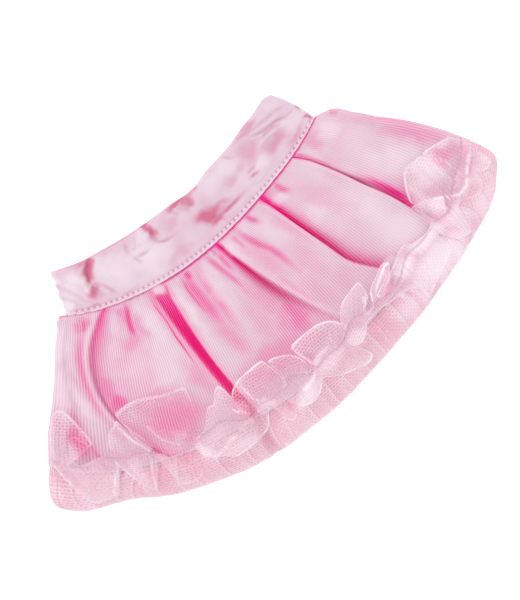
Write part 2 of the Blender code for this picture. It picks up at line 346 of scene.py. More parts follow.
def net_material(
    name, colour, deep, pitch, rib, cover, thin, between, shine, contrast, row=1.0, crosswise=False
):
    """Net: pale threads, rosier and see-through between, and painted deep pink shade in its folds.

    cover and thin are the opacity on the threads and in the holes, between is how rosy the holes
    are, shine is the least painted light that it gives off, and contrast how clearly the threads
    show.
    """
    material, tree, shader = new_material(name, 0.7)
    threads = net_threads(tree, pitch, rib, row, crosswise)
    clear = ease(tree, noise(tree, 30.0, 2.0), 0.35, 0.65, 0.5 * contrast, 1.1 * contrast)
    fainter_right = ease(tree, axes(tree, "Object")[0], 0.0, 0.06, 1.0, 0.55)
    clear = calculate(tree, "MULTIPLY", clear, fainter_right)
    threads = calculate(tree, "MULTIPLY_ADD", calculate(tree, "SUBTRACT", threads, 0.5), clear, 0.5)
    # Painted shade deepens the colour and thins the net. What is painted pale is doubled net, and
    # on the overskirt's rims and light patches painted highlight too.
    glow = painted(tree, "glow")
    edge = painted(tree, "edge")
    mottle = ease(tree, noise(tree, 45.0), 0.3, 0.7, -0.05, 0.05)
    dense = calculate(tree, "ADD", ease(tree, threads, 0.0, 1.0, thin, cover), mottle)
    dense = calculate(tree, "SUBTRACT", dense, calculate(tree, "MULTIPLY", glow, 0.25))
    to_full = calculate(tree, "MULTIPLY", calculate(tree, "SUBTRACT", 0.8, dense), edge)
    dense = calculate(tree, "ADD", dense, to_full)
    feed(tree, shader.inputs["Alpha"], clamped(tree, dense))
    between = calculate(tree, "MULTIPLY_ADD", glow, 0.3, between)
    rosy = calculate(tree, "MULTIPLY", calculate(tree, "SUBTRACT", 1.0, threads), between)
    rosy = calculate(tree, "ADD", rosy, calculate(tree, "POWER", glow, 0.8))
    rosy = calculate(tree, "ADD", rosy, ease(tree, noise(tree, 26.0, 2.0), 0.3, 0.7, -0.03, 0.05))
    shade = blend_colours(tree, clamped(tree, rosy), colour, deep)
    shade = blend_colours(tree, edge, shade, NET_EDGE)
    feed(tree, shader.inputs["Base Color"], shade)
    feed(tree, shader.inputs["Normal"], bump(tree, threads, 0.0001, 0.15))
    shader.inputs["Specular IOR Level"].default_value = 0.15
    # Painted light: the net gives off light of its own colour, at least shine, more where it is
    # painted pale and where it is painted with shade.
    least = calculate(tree, "MULTIPLY_ADD", edge, 0.10, shine)
    painted_glow(tree, shader, shade, glow, least, 0.18)
    return material


def trim_net(name, **look):
    """The pale net of the flounce and the ruffle, whose lines of holes run along the strip."""
    pale, deep, pitch = colours().trim, colours().trim_shade, sizes().net_pitch
    return net_material(name, pale, deep, pitch, rib=1.0, row=0.75, crosswise=True, **look)


WARP_PITCH = 0.00035  # metres between the satin's warp threads
WEFT_PITCH = 1.7 * WARP_PITCH


def satin_material(name, light, dark, pale, roughness, lit=0.0):
    """Satin: a fine warp, a soft sheen, painted shade in its creases, and painted highlight."""
    material, tree, shader = new_material(name, roughness)
    along, down = axes(tree, "UV")
    warp = calculate(tree, "SINE", calculate(tree, "MULTIPLY", along, 2.0 * pi / WARP_PITCH))
    weft = calculate(tree, "SINE", calculate(tree, "MULTIPLY", down, 2.0 * pi / WEFT_PITCH))
    threads = calculate(tree, "MULTIPLY_ADD", calculate(tree, "MULTIPLY", warp, weft), 0.5, 0.5)
    clouds = ease(tree, noise(tree, 38.0, 2.0), 0.35, 0.7, 0.0, 0.14)
    small = ease(tree, noise(tree, 160.0, 3.0), 0.35, 0.65, 0.0, 0.10)
    depth = calculate(tree, "ADD", painted(tree, "glow"), calculate(tree, "ADD", clouds, small))
    shade = blend_colours(tree, clamped(tree, depth), light, dark)
    shade = blend_colours(tree, painted(tree, "edge"), shade, pale)
    feed(tree, shader.inputs["Base Color"], shade)
    feed(tree, shader.inputs["Normal"], bump(tree, threads, 0.00004, 0.35))
    # Painted light: what is painted pale gives off a little light, and the painted shade gives off
    # light by lit.
    pale_light = calculate(tree, "MULTIPLY", painted(tree, "edge"), 0.07)
    painted_glow(tree, shader, shade, painted(tree, "glow"), pale_light, lit)
    shader.inputs["Sheen Weight"].default_value = 0.3
    shader.inputs["Specular IOR Level"].default_value = 0.45
    return material


# ---------------------------------------------------------------------------------------------
# The skirt's plan, as its solids have it

# Curves across the skirt. Each sags below the straight line between its ends, a little more on
# its right half by its skew, and is rounder towards its ends than a parabola by its fullness.
Section = namedtuple("Section", "left_x left_y right_x right_y sag skew fullness")
BAND_TOP = Section(-63.5, 59.3, 61.2, 63.7, sag=9.8, skew=0.6, fullness=0.0)
BAND_MIDDLE = Section(-67.4, 50.8, 66.4, 53.8, sag=12.8, skew=0.9, fullness=0.15)
WAIST = Section(-70.5, 40.6, 70.2, 44.3, sag=16.2, skew=1.1, fullness=0.3)
HIP = Section(-84.5, 26.5, 89.7, 32.8, sag=27.4, skew=1.2, fullness=0.3)
THIGH = Section(-99.5, 10.0, 105.2, 14.2, sag=34.6, skew=1.4, fullness=0.5)
LINING_HEM = Section(-115.2, -8.5, 117.8, -6.0, sag=39.4, skew=1.8, fullness=0.8)
FLOUNCE_MIDDLE = Section(-123.8, -19.5, 123.8, -14.0, sag=39.8, skew=1.3, fullness=0.6)
HEM = Section(-121.5, -27.5, 121.5, -20.5, sag=39.5, skew=0.9, fullness=0.6)
BAND_SECTIONS = (WAIST, BAND_MIDDLE, BAND_TOP)
SKIRT_SECTIONS = (WAIST, HIP, THIGH, LINING_HEM)
FLOUNCE_SECTIONS = (LINING_HEM, FLOUNCE_MIDDLE, HEM)

# The valleys between the front's pleats: their u at the waist, half way down and at the hem, how
# much further a kink two thirds of the way down takes it, the share of their depth that they
# lose towards the hem, half the width of their floor, the width of the slopes on their left and
# right, how strongly deep pink shade is painted there, giving off painted light, at the waist,
# half way and at the hem, how far that reaches each way, the v at which a valley opens, and the
# share of its width that it has above there. The first and the last are the skirt's two sides.
Valley = namedtuple(
    "Valley",
    "waist middle hem kink filled floor left_slope right_slope"
    " glow_waist glow_middle glow_hem glow_left glow_right opens shut",
)
VALLEYS = table(
    Valley,
    (0.000, 0.000, 0.000, 0.0, 0.0, 0.0, 5.0, 5.0, 0.0, 0.0, 0.0, 1.0, 1.0, 0.0, 1.0),
    (0.030, 0.026, 0.085, 0.0, 0.8, 0.3, 4.0, 4.0, 0.0, 0.0, 0.24, 1.2, 1.2, 0.4, 0.4),
    (0.111, 0.0785, 0.194, 0.0, 0.45, 0.2, 2.0, 13.0, 0.54, 0.26, 0.54, 1.4, 3.6, 0.2, 0.5),
    (0.285, 0.318, 0.370, 0.0, 0.0, 1.6, 1.0, 1.0, 0.44, 0.96, 0.30, 1.9, 1.5, 0.45, 1.4),
    (0.5175, 0.551, 0.634, 0.0, 1.0, 0.2, 12.0, 2.6, 0.92, 0.34, 0.0, 4.2, 3.0, 0.45, 0.34),
    (0.711, 0.6985, 0.762, -0.008, 0.6, 0.3, 0.8, 9.0, 0.95, 0.52, 0.22, 1.6, 3.6, 0.7, 0.5),
    (0.868, 0.8495, 0.872, 0.0045, 0.5, 0.2, 0.8, 8.0, 0.84, 0.34, 1.2, 0.8, 4.0, 0.72, 0.16),
    (1.000, 1.000, 1.000, 0.0, 0.0, 0.0, 12.0, 5.0, 0.0, 0.0, 0.0, 1.0, 1.0, 0.0, 1.0),
)
# How high each pleat stands between two valleys.
PLEAT_HEIGHTS = (2.2, 3.8, 11.0, 11.0, 11.5, 12.0, 12.0)

LAYER = 1.3  # height that one layer of cloth takes up
FRONT_LINING_AT = 3.1  # height of the front lining's middle over the floor, at the waist seam
FRONT_NET_AT = 4.4  # the same for the net over it
# The v between which the front and the back rise by one more layer.
FRONT_LIFT = (0.40, 0.62)
BACK_LIFT = (0.70, 0.76)


def across(section, u):
    """The plan points at shares u of the way across a section, as x and y in the last axis."""
    fullness = 1.0 + section.fullness * (2.0 * u - 1.0) ** 4
    hang = 4.0 * u * (1.0 - u) * section.sag * fullness + np.sin(2.0 * pi * u) * section.skew
    x = lerp(section.left_x, section.right_x, u)
    return np.stack([x, lerp(section.left_y, section.right_y, u) - hang], axis=-1)


def through(sections, share, u):
    """Plan points on the smooth surface through evenly spaced sections (Lagrange's formula)."""
    places = [i / (len(sections) - 1) for i in range(len(sections))]
    point = 0.0
    for here, section in zip(places, sections):
        weight = np.ones_like(u)
        for other in places:
            if other != here:
                weight = weight * (share - other) / (here - other)
        point = point + across(section, u) * weight[..., None]
    return point


# How far the skirt's two sides bulge beyond the sections' smooth curve, in mm along v.
BULGE_AT = (0.0, 0.05, 0.1, 0.15, 0.25, 0.4, 0.6, 0.8, 1.0, 1.3)
LEFT_BULGE = (2.4, 3.2, 2.4, 2.2, 2.2, 1.2, 0.7, 1.8, 0.8, 0.0)
RIGHT_BULGE = (0.3, 1.2, 2.0, 1.8, -0.3, -1.4, -0.1, 1.2, 1.6, 0.0)
# How far the flounce's free edge is drawn up from the sections' smooth curve, in mm along u.
HEM_AT = (
    0.0, 0.03, 0.055, 0.08, 0.10, 0.125, 0.15, 0.175, 0.20, 0.25, 0.30, 0.35, 0.40, 0.45,
    0.54, 0.58, 0.63, 0.68, 0.75, 0.79, 0.85, 0.90, 0.93, 0.96, 1.0,
)
HEM_RISE = (
    0.0, 0.2, 2.2, 3.7, 4.6, 4.2, 2.4, 1.1, 0.6, 0.0, -1.0, -1.3, -0.7, 0.0,
    0.6, 1.2, 1.1, 1.2, 0.5, 1.0, 0.5, 0.2, -0.8, -1.6, -1.0,
)
WAIST_LINE = 146.0  # length of the waist seam, along its curve
HEM_LINE = 262.0  # length of the lining's hem, along its curve
# How the cloth was cut, for its UV map.
SKIRT_LENGTH = 62.0  # from the waist seam to the lining's hem
BACK_WIDTH = 255.0
FLOUNCE_LENGTH = 19.0
FRONT_SLACK = 1.25  # the front's cloth, over the width that its pleats cover
MEASURED_AT = 0.55  # v of the cross line that gives the front's width


def skirt_plan(u, v):
    """Plan points of the skirt, for v up to 1, or of its flounce, for v from 1 to 2."""
    above = through(SKIRT_SECTIONS, np.minimum(v, 1.0), u)
    below = through(FLOUNCE_SECTIONS, np.maximum(v, 1.0) - 1.0, u)
    plan = np.where((v <= 1.0)[..., None], above, below)
    left = np.interp(v, BULGE_AT, LEFT_BULGE) * smooth(0.12, 0.0, u)
    right = np.interp(v, BULGE_AT, RIGHT_BULGE) * smooth(0.88, 1.0, u)
    rise = np.interp(u, HEM_AT, HEM_RISE) * np.maximum(v - 1.0, 0.0) ** 1.5
    return plan + np.stack([0.75 * (right - left), 0.65 * (right + left) + rise], axis=-1)


def skirt_width(v):
    """The length of the skirt's cross line at v, from side to side."""
    return lerp(WAIST_LINE, HEM_LINE, np.minimum(v, 1.0) ** 0.9)


# ---------------------------------------------------------------------------------------------
# The pleated front


def valley_values(name):
    """One column of the valleys' table, as an array."""
    return np.array([getattr(valley, name) for valley in VALLEYS])


def valley_u(number, v):
    """Where valleys are at v, each on the parabola through its three places."""
    waist, middle, hem = (valley_values(n)[number] for n in ("waist", "middle", "hem"))
    v = np.minimum(v, 1.0)
    bend = 4.0 * v * (1.0 - v) * (middle - 0.5 * (waist + hem))
    kink = valley_values("kink")[number] * np.exp(-(((v - 0.66) / 0.13) ** 2))
    return lerp(waist, hem, v) + bend + kink


def pleat_columns(share_across):
    """The pleat number and the share of its width for columns spread evenly over the front."""
    edges = valley_u(np.arange(len(VALLEYS)), 0.6)
    number = np.clip(np.searchsorted(edges, share_across, side="right") - 1, 0, len(edges) - 2)
    share = np.clip((share_across - edges[number]) / (edges[number + 1] - edges[number]), 0, 1)
    closer_at_ends = 0.5 - 0.5 * np.cos(pi * share)
    return number, lerp(share, closer_at_ends, 0.55)


def slope(distance, floor, width):
    """The rounded rise from a valley's floor to a pleat's top."""
    x = np.clip((distance - floor) / width, 0.0, 1.0)
    return 1.0 - (1.0 - x) ** 2.4


def opening(number, v):
    """The share of their width that valleys have at v."""
    opens, shut = valley_values("opens")[number], valley_values("shut")[number]
    return lerp(shut, 1.0, smooth(opens - 0.4, opens + 0.15, v))


DOME = 0.14  # share of its height that a pleat loses from its middle to its sides
LOST_AT_HEM = 0.25  # the same from half way down to the hem
# From this width on a slope is soft: it has no pale rim, and the painted shade beside it has a
# weak tail of this strength that reaches so many times as far.
SOFT_SLOPE = 3.0
TAIL_STRENGTH = 0.34
TAIL_REACH = 2.6
# The pale rims are doubled net with a painted highlight on them.
RIM_WIDTH = 1.1  # half width of the pale rim along a sharp fold


def front_form(share_across, v):
    """The front's u, its height over the valleys, the painted shade in its folds and the painted
    highlight on its pleats' pale rims.
    """
    number, share = pleat_columns(share_across)
    left, right = valley_u(number, v), valley_u(number + 1, v)
    u = lerp(left, right, share)
    width = (right - left) * skirt_width(v)
    dome = 1.0 - DOME * (2.0 * share - 1.0) ** 2
    loft = (1.0 - (1.0 - np.minimum(v, 1.0)) ** 4) * (1.0 - LOST_AT_HEM * smooth(0.5, 1.0, v))
    height = np.array(PLEAT_HEIGHTS)[number] * loft * dome
    glow, rim = np.zeros_like(u), np.zeros_like(u)
    sides = ((number, share * width, "right"), (number + 1, (1.0 - share) * width, "left"))
    for valley, distance, side in sides:
        open_share = opening(valley, v)
        floor = valley_values("floor")[valley] * open_share
        steep = valley_values(side + "_slope")[valley]
        filled = valley_values("filled")[valley] * smooth(0.35, 0.85, v)
        height = height * lerp(slope(distance, floor, steep * open_share), 1.0, filled)
        reach = valley_values("glow_" + side)[valley] * open_share
        off = np.maximum(distance - floor, 0.0) / np.maximum(reach, 0.5)
        tail = (steep > SOFT_SLOPE) * TAIL_STRENGTH * np.exp(-((off / TAIL_REACH) ** 2))
        glow = np.maximum(glow, fold_shade_and_glow(valley, v) * (np.exp(-(off**1.5)) + tail))
        # A pale rim along each sharp fold: doubled net with a painted highlight.
        past_rim = (distance - floor - 0.8 * steep * open_share - 0.5) / RIM_WIDTH
        sharp = (steep < SOFT_SLOPE) * smooth(0.02, 0.15, v)
        rim = np.maximum(rim, np.exp(-(past_rim**2)) * sharp)
    return u, height, glow, rim


def fold_shade_and_glow(valley, v):
    """How strongly the bottom of valleys at v is painted with shade that gives off painted light.
    """
    waist, middle, hem = (valley_values("glow_" + n)[valley] for n in ("waist", "middle", "hem"))
    v = np.minimum(v, 1.0)
    strength = lerp(waist, hem, v) + 4.0 * v * (1.0 - v) * (middle - 0.5 * (waist + hem))
    return np.clip(strength, 0.0, 1.2)


# Troughs (positive depth) and ridges pressed into the cloth along lines: the line's points, its
# half width, its depth, and how much it deepens the colour, as painted shade (in the loose net,
# how pale its fold line is).
Crease = namedtuple("Crease", "points width depth tint")
# Soft patches where the cloth is hollow, raised or only painted: the middle, the half width and
# half height, the turn in degrees, the depth and how much the colour deepens (negative where it
# is lighter). On the skirt and the band that is painted shade and painted highlight.
Patch = namedtuple("Patch", "x y half_x half_y turn depth tint")
# The front's creases and patches: what deepens the colour is painted shade, what lightens it
# painted highlight.
SKIRT_CREASES = table(
    Crease,
    ([(-64.5, 35), (-66.3, 32.2), (-68.5, 29)], 0.9, 0.9, 0.6),
    ([(-55.5, 32.5), (-58.7, 29.8), (-63, 26.6), (-66, 23.8), (-69, 20.5)], 1.4, 0.9, 0.5),
    ([(-45.8, 30), (-47, 25.8), (-48.8, 22), (-50, 18), (-50.5, 12)], 1.5, 1.0, 0.66),
    ([(-54, 32), (-52.4, 29)], 0.8, 0.5, 0.3),
    ([(-35.4, 27), (-35.8, 20), (-35.4, 12), (-36.2, 4), (-36.6, -16)], 0.5, 0.3, 0.8),
    ([(-34.2, 26.5), (-34.8, 19), (-34.3, 12), (-34.9, 4)], 0.4, 0.3, 0.8),
    ([(-26.6, 26.5), (-27.4, 22), (-27.9, 16)], 0.45, 0.2, 0.8),
    ([(-16.6, 26), (-17.8, 18.8), (-17.4, 13), (-16.8, 2), (-17, -8)], 2.8, 1.2, 0.5),
    ([(-18.5, 25), (-20, 18), (-19.6, 8), (-18.5, 0)], 0.8, 0.3, 0.55),
    ([(-18.5, 0), (-17, -10), (-14, -24)], 3.4, 0.8, 0.25),
    ([(-5.8, 26), (-3.8, 19.7), (-1, 9), (1, 0)], 1.3, 0.9, 0.42),
    ([(-10, 26), (-10.5, 16)], 1.2, 0.4, 0.2),
    ([(-1.5, 26), (-0.5, 21)], 0.8, 0.4, 0.35),
    ([(9.5, 25.5), (10.8, 19), (11.8, 15)], 1.0, 0.5, 0.3),
    ([(12.6, 26), (14.3, 20), (16.9, 14.3), (20, 9.2), (21.5, 4), (24, -6)], 1.7, 1.2, 0.5),
    ([(19.5, 29), (21, 25.1), (23.5, 21.5)], 1.2, 0.8, 0.5),
    ([(28.5, 31), (30.2, 26.6)], 0.9, 0.4, 0.4),
    ([(32, 26.5), (33.4, 21)], 1.1, 0.4, 0.8),
    ([(38, 32.5), (39.5, 28), (42.5, 24.5)], 1.3, 0.8, 0.45),
    ([(34.5, 29.5), (37.5, 25), (43, 20)], 1.6, -0.8, 0.0),
    ([(35, 18), (38.5, 12), (42, 4)], 2.4, 0.3, 0.28),
    ([(54.5, 36.5), (59.5, 28.5), (64, 20.5)], 0.45, 0.2, 0.45),
    ([(60, 24), (68, 4)], 7.0, -0.7, 0.0),
    ([(-42, 14), (-42, -20)], 5.0, -0.7, 0.0),
    ([(-24, 22), (-25, -22)], 3.0, -0.6, 0.0),
    ([(-6, 12), (-5, -26)], 4.0, -0.5, 0.0),
    ([(-84, 22), (-82.5, 8), (-83, -10)], 1.8, 0.3, 0.1),
    ([(84, 38), (94, 26.5), (103, 15.5), (111, 4)], 3.2, 0.4, 0.24),
    ([(97, 22), (102, 14), (107, 4)], 3.0, 0.4, 0.22),
    ([(76, 42.5), (80, 40)], 1.6, 0.2, 0.3),
    ([(12.6, -5), (12.4, -12), (12.2, -20), (12.3, -28)], 1.4, 0.4, 0.34),
    ([(14, 2), (17, -8), (20, -18), (23, -26)], 1.6, 0.3, 0.16),
    ([(-12, 25), (-12.4, 12), (-12, 0), (-12.6, -12)], 2.4, 0.5, 0.34),
    ([(-16.4, 25), (-16.2, 19)], 1.8, 0.5, 0.62),
    ([(-93, 10), (-94.2, 2), (-94.6, -6)], 1.4, 0.4, 0.28),
    ([(-66, 33), (-71, 28), (-76, 22), (-80, 13), (-82.3, 2), (-82.3, -12)], 2.0, 0.3, 0.38),
    ([(-67.5, 36), (-70, 29)], 2.2, 0.2, 0.3),
    ([(-78.2, 9), (-78.6, -7)], 1.3, 0.0, 0.3),
    ([(0.6, 24), (0.4, 18), (1.4, 10)], 1.5, 0.4, 0.42),
    ([(68.3, 12), (72, 7), (75.4, 1), (78.6, -5), (81, -11), (82.5, -16)], 1.6, 0.0, 0.8),
    ([(53.2, 37.5), (55.6, 33.5), (58.4, 29), (61, 24.5)], 0.9, 0.2, 0.6),
)
SKIRT_PATCHES = table(
    Patch,
    (-30.6, 25.2, 2.9, 2.6, 0, -0.5, -0.5), (-53.5, 12.8, 5, 5, 20, 0.5, 0.25),
    (-41, 14, 3.2, 11, 0, -0.4, -0.16), (-60.5, 14.5, 4, 4, 0, -0.4, -0.1),
    (-24.6, 10, 2.4, 15, 0, -0.4, -0.18), (-9.5, 10, 3, 12, 0, -0.4, -0.12),
    (6.3, 19, 1.8, 6.5, 15, -0.3, -0.2), (16, 24, 1.6, 4, 15, -0.3, -0.12),
    (25.5, 13, 4, 8, 20, -0.4, -0.12), (36, 25, 2, 4.5, 40, -0.4, -0.22),
    (45, 10, 4, 5, 20, -0.4, -0.12), (71, 36, 6, 4, -20, -0.5, -0.16),
    (64, 36, 4, 5, 0, 0.3, 0.2), (74, 28, 13, 9, 0, 0, 0.03),
    (-38, -16, 5, 10, 10, 0.5, 0.22), (4, -6, 4, 16, 15, 0.5, 0.2),
    (-50, 25, 5, 3, 30, 0.5, 0.3), (-58, 10, 9, 9, 30, 0.5, 0.16),
    (-47.5, 18, 3.5, 7, 15, 0.3, 0.22), (-54.5, 24, 3, 6, -10, -0.4, -0.14),
    (-61, 24, 9, 3.5, 38, 0.4, 0.12), (25, -16, 5, 11, 20, 0.3, 0.1),
    (100, 13, 15, 5, -45, 0.3, 0.26), (88, 6, 9, 8, -20, 0, -0.2),
    (103, -3, 5, 4, 0, 0, 0.3), (-100, 2, 3, 7, 0, 0.3, 0.14),
    (-87, 4, 2.5, 8, 0, -0.3, -0.16), (-52, 20, 5, 4, 30, 0.6, 0.12),
    (-66, -14, 5, 9, 0, 0.8, 0.16), (-47, -5, 8, 12, 0, -0.6, -0.1),
    (-58, 4, 6, 8, -10, -0.6, -0.08), (-2, -14, 5, 14, 0, 0.5, 0.12),
    (29, -2, 5, 15, 12, 0.4, 0.10), (37, -20, 7, 6, 0, 0.4, 0.08),
    (50, 16, 5, 12, 25, 0.5, 0.08), (66, 2, 8, 9, 15, -0.7, -0.12),
    (70, -14, 7, 6, 0, -0.3, -0.08), (58, 31, 4, 5, 10, -0.5, -0.06),
    (62, 22, 4, 5, 0, 0.5, 0.08), (78, 24, 6, 7, 30, -0.5, -0.06),
    (80, 12, 4, 8, 25, -0.4, -0.12), (91, 27, 15, 4.5, -42, 0.3, 0.12),
    (-57, -24, 14, 9, -20, 0.5, 0.34), (-62, -2, 13, 9, 0, 0.3, 0.14),
    (-74.5, 1, 4.6, 13, 0, 0.0, 0.34), (-98.5, -7, 3.6, 9, 0, 0, 0.42),
    (65, -6, 7, 12, 0, -0.3, -0.2), (-6, -29, 17, 7, 0, 0.3, 0.26),
    (8, -20, 7, 10, 0, 0.3, 0.24), (16, 8, 5, 13, 15, 0.3, 0.16),
    (33, 12, 4, 12, 18, 0.3, 0.14), (84.5, -18.5, 4.5, 6, 0, 0, -0.45),
    (58, -27, 4, 3, 0, 0, -0.3), (11.5, -20, 5, 10, 0, 0, 0.38),
    (-74, -4, 4.6, 4.6, 0, 0, 0.5), (-58, -10.5, 12, 2.4, -12, 0, 0.2),
    (-66, 33, 4, 2.6, 40, 0, 0.3), (70, -18, 11, 8, 0, 0, -0.25),
    (-91, 14, 3.5, 14, -33, 0, -0.2), (-80, 31, 3, 9, -42, 0, -0.2),
)


def uneven(plan):
    """Plan points moved about a little, so that what is drawn from them has uneven outlines."""
    x, y = plan[..., 0], plan[..., 1]
    off_x = 0.7 * np.sin(0.62 * y + 0.35 * x + 1.0) + 0.22 * np.sin(1.7 * y - 0.9 * x)
    off_y = 0.6 * np.sin(0.55 * x - 0.41 * y) + 0.2 * np.sin(1.5 * x + 0.8 * y + 2.0)
    return plan + np.stack([off_x, off_y], axis=-1)


def pressed(creases, patches, plan):
    """How deep creases and patches are at plan points, and how they change the colour there."""
    depth, tint, light = (np.zeros(plan.shape[:-1]) for _ in range(3))
    moved = uneven(plan)
    for crease in creases:
        points = np.array(crease.points, float)
        steps = np.linalg.norm(np.diff(points, axis=0), axis=1)
        nearest = np.full(plan.shape[:-1], np.inf)
        run = np.zeros(plan.shape[:-1])
        for start, end, step, before in zip(points, points[1:], steps, np.cumsum(steps) - steps):
            share = np.clip(((plan - start) @ (end - start)) / step**2, 0.0, 1.0)
            off = np.linalg.norm(plan - start - share[..., None] * (end - start), axis=-1)
            run = np.where(off < nearest, before + share * step, run)
            nearest = np.minimum(nearest, off)
        run = run / steps.sum()
        fade = lerp(0.25, 1.0, smooth(0.0, 0.3, run)) * lerp(0.25, 1.0, smooth(1.0, 0.6, run))
        strength = np.exp(-((nearest / crease.width) ** 2)) * fade
        depth = depth + crease.depth * strength
        tint = np.maximum(tint, crease.tint * strength)
    for patch in patches:
        turn = radians(patch.turn)
        off = moved - np.array([patch.x, patch.y])
        x = (off[..., 0] * np.cos(turn) + off[..., 1] * np.sin(turn)) / patch.half_x
        y = (off[..., 1] * np.cos(turn) - off[..., 0] * np.sin(turn)) / patch.half_y
        strength = np.exp(-((x * x + y * y) ** 1.6))
        depth = depth + patch.depth * strength
        tint = np.maximum(tint, patch.tint * strength)
        light = np.maximum(light, -patch.tint * strength)
    return depth, tint, light


def waist_gathers(u, v):
    """The fine gathers under the waistband, which die out down the skirt."""
    wander = 2.2 * np.sin(2.0 * pi * 3.0 * u) + 1.4 * np.sin(2.0 * pi * 7.3 * u + 1.0)
    fine = 0.30 * np.sin(2.0 * pi * 46.0 * u + wander) * np.exp(-v / 0.10)
    broad = 0.38 * np.sin(2.0 * pi * 21.0 * u - 1.6 * wander) * np.exp(-v / 0.22)
    return fine + broad


def front_sheet(name, columns, rows, lies_at, gathered):
    """A sheet over the pleated front, whose lowest cloth lies at a given height."""
    sheet, share_across, v = grid_sheet(name, columns, rows)
    u, height, glow, rim = front_form(share_across, v)
    plan = skirt_plan(u, v)
    depth, tint, light = pressed(SKIRT_CREASES, SKIRT_PATCHES, plan)
    loose = smooth(0.0, 0.25, height / 10.0)
    z = lies_at + LAYER * smooth(*FRONT_LIFT, v) + height - depth * loose
    if gathered:
        z = z + waist_gathers(u, v)
    place_points(sheet, plan, np.maximum(z, lies_at - 0.6))
    flat_uv(sheet, (u - 0.5) * skirt_width(MEASURED_AT) * FRONT_SLACK, -v * SKIRT_LENGTH)
    # Painted shadow: a deep pink line just below the waistband's lip, stronger to the right.
    shade_under_band = np.exp(-((v / 0.013) ** 2)) * lerp(0.45, 1.0, smooth(0.25, 0.32, u))
    # Creases and patches add painted shade; light patches remove it and add painted highlight.
    glow = np.maximum(np.maximum(glow, tint) * (1.0 - np.clip(2.0 * light, 0.0, 1.0)), shade_under_band)
    paint(sheet, "glow", np.clip(glow, 0.0, 1.2))
    # Painted pale: the pleats' rims, doubled net with painted highlight, painted highlight on light
    # patches, and paler net at the sides and the hem.
    sides = 0.12 * np.exp(-((np.minimum(u, 1.0 - u) / 0.010) ** 2))
    hem = smooth(0.992, 1.0, v)
    pale = np.minimum(2.0 * light, 0.5)
    paint(sheet, "edge", np.maximum.reduce([0.3 * rim, hem, pale, sides]))
    return sheet


# ---------------------------------------------------------------------------------------------
# Overskirt and lining


def back_lift(v):
    """How far the back is lifted by the ruffle that lies pressed under it."""
    return LAYER * smooth(*BACK_LIFT, v)


def back_sheet(name, cells, span, lies_at, ripple):
    """A flat sheet of the back, over a span of v, with shallow ripples that run down it."""
    sheet, u, down = grid_sheet(name, *cells)
    v = lerp(*span, down)
    plan = skirt_plan(u, v)
    wander = 1.8 * np.sin(2.0 * pi * 2.0 * u + 0.5) + 1.1 * np.sin(2.0 * pi * 5.0 * u)
    waves = np.sin(2.0 * pi * 17.0 * u + wander) + 0.5 * np.sin(2.0 * pi * 41.0 * u - wander)
    z = lies_at + (back_lift(v) if span[1] <= 1.0 else 0.0) + ripple * waves
    z = z + np.exp(-np.minimum(u, 1.0 - u) * 90.0)  # its sides rise to meet the front's
    place_points(sheet, plan, np.maximum(z, 0.12))
    flat_uv(sheet, (u - 0.5) * BACK_WIDTH, -v * SKIRT_LENGTH)
    # A little deeper colour everywhere, which gives off painted light, more where the ripples stand
    # higher.
    paint(sheet, "glow", 0.12 + 0.1 * waves)
    paint(sheet, "edge", np.zeros_like(u))
    return sheet


class TUTU_OT_overskirt(bpy.types.Operator):
    """Make the ribbed net overskirt, gathered into pleats"""

    bl_idname = "tutu.overskirt"
    bl_label = "Overskirt"

    def execute(self, context):
        net = net_material(
            "skirt_net",
            colours().overskirt,
            colours().overskirt_deep,
            sizes().rib_pitch,
            rib=14.0,
            cover=0.85,
            thin=0.68,
            between=0.10,
            shine=0.02,
            contrast=1.2,
        )
        thick, slot = sizes().net_thickness, "skirt_net"
        sheet = front_sheet("overskirt_net_front", 380, 100, FRONT_NET_AT, gathered=True)
        finish_piece(sheet, thick, "overskirt_front", net)
        sheet = back_sheet("overskirt_net_back", (200, 40), (0.0, 1.0), lies_at=0.5, ripple=0.12)
        finish_piece(sheet, thick, "overskirt_back", net)
        return {"FINISHED"}


class TUTU_OT_lining(bpy.types.Operator):
    """Make the satin lining under the overskirt"""

    bl_idname = "tutu.lining"
    bl_label = "Lining"

    def execute(self, context):
        lining = colours().lining
        deep = colours().lining_deep
        # The lining's painted shade in its folds gives off painted light.
        satin = satin_material("lining_satin", lining, deep, lining, 0.45, lit=0.22)
        thick, slot = sizes().satin_thickness, "lining_satin"
        sheet = front_sheet("lining_satin_front", 260, 60, FRONT_LINING_AT, gathered=False)
        finish_piece(sheet, thick, "lining_front", satin)
        sheet = back_sheet("lining_satin_back", (140, 30), (0.0, 1.0), lies_at=1.8, ripple=0.08)
        finish_piece(sheet, thick, "lining_back", satin)
        return {"FINISHED"}


# ---------------------------------------------------------------------------------------------
# Flounce

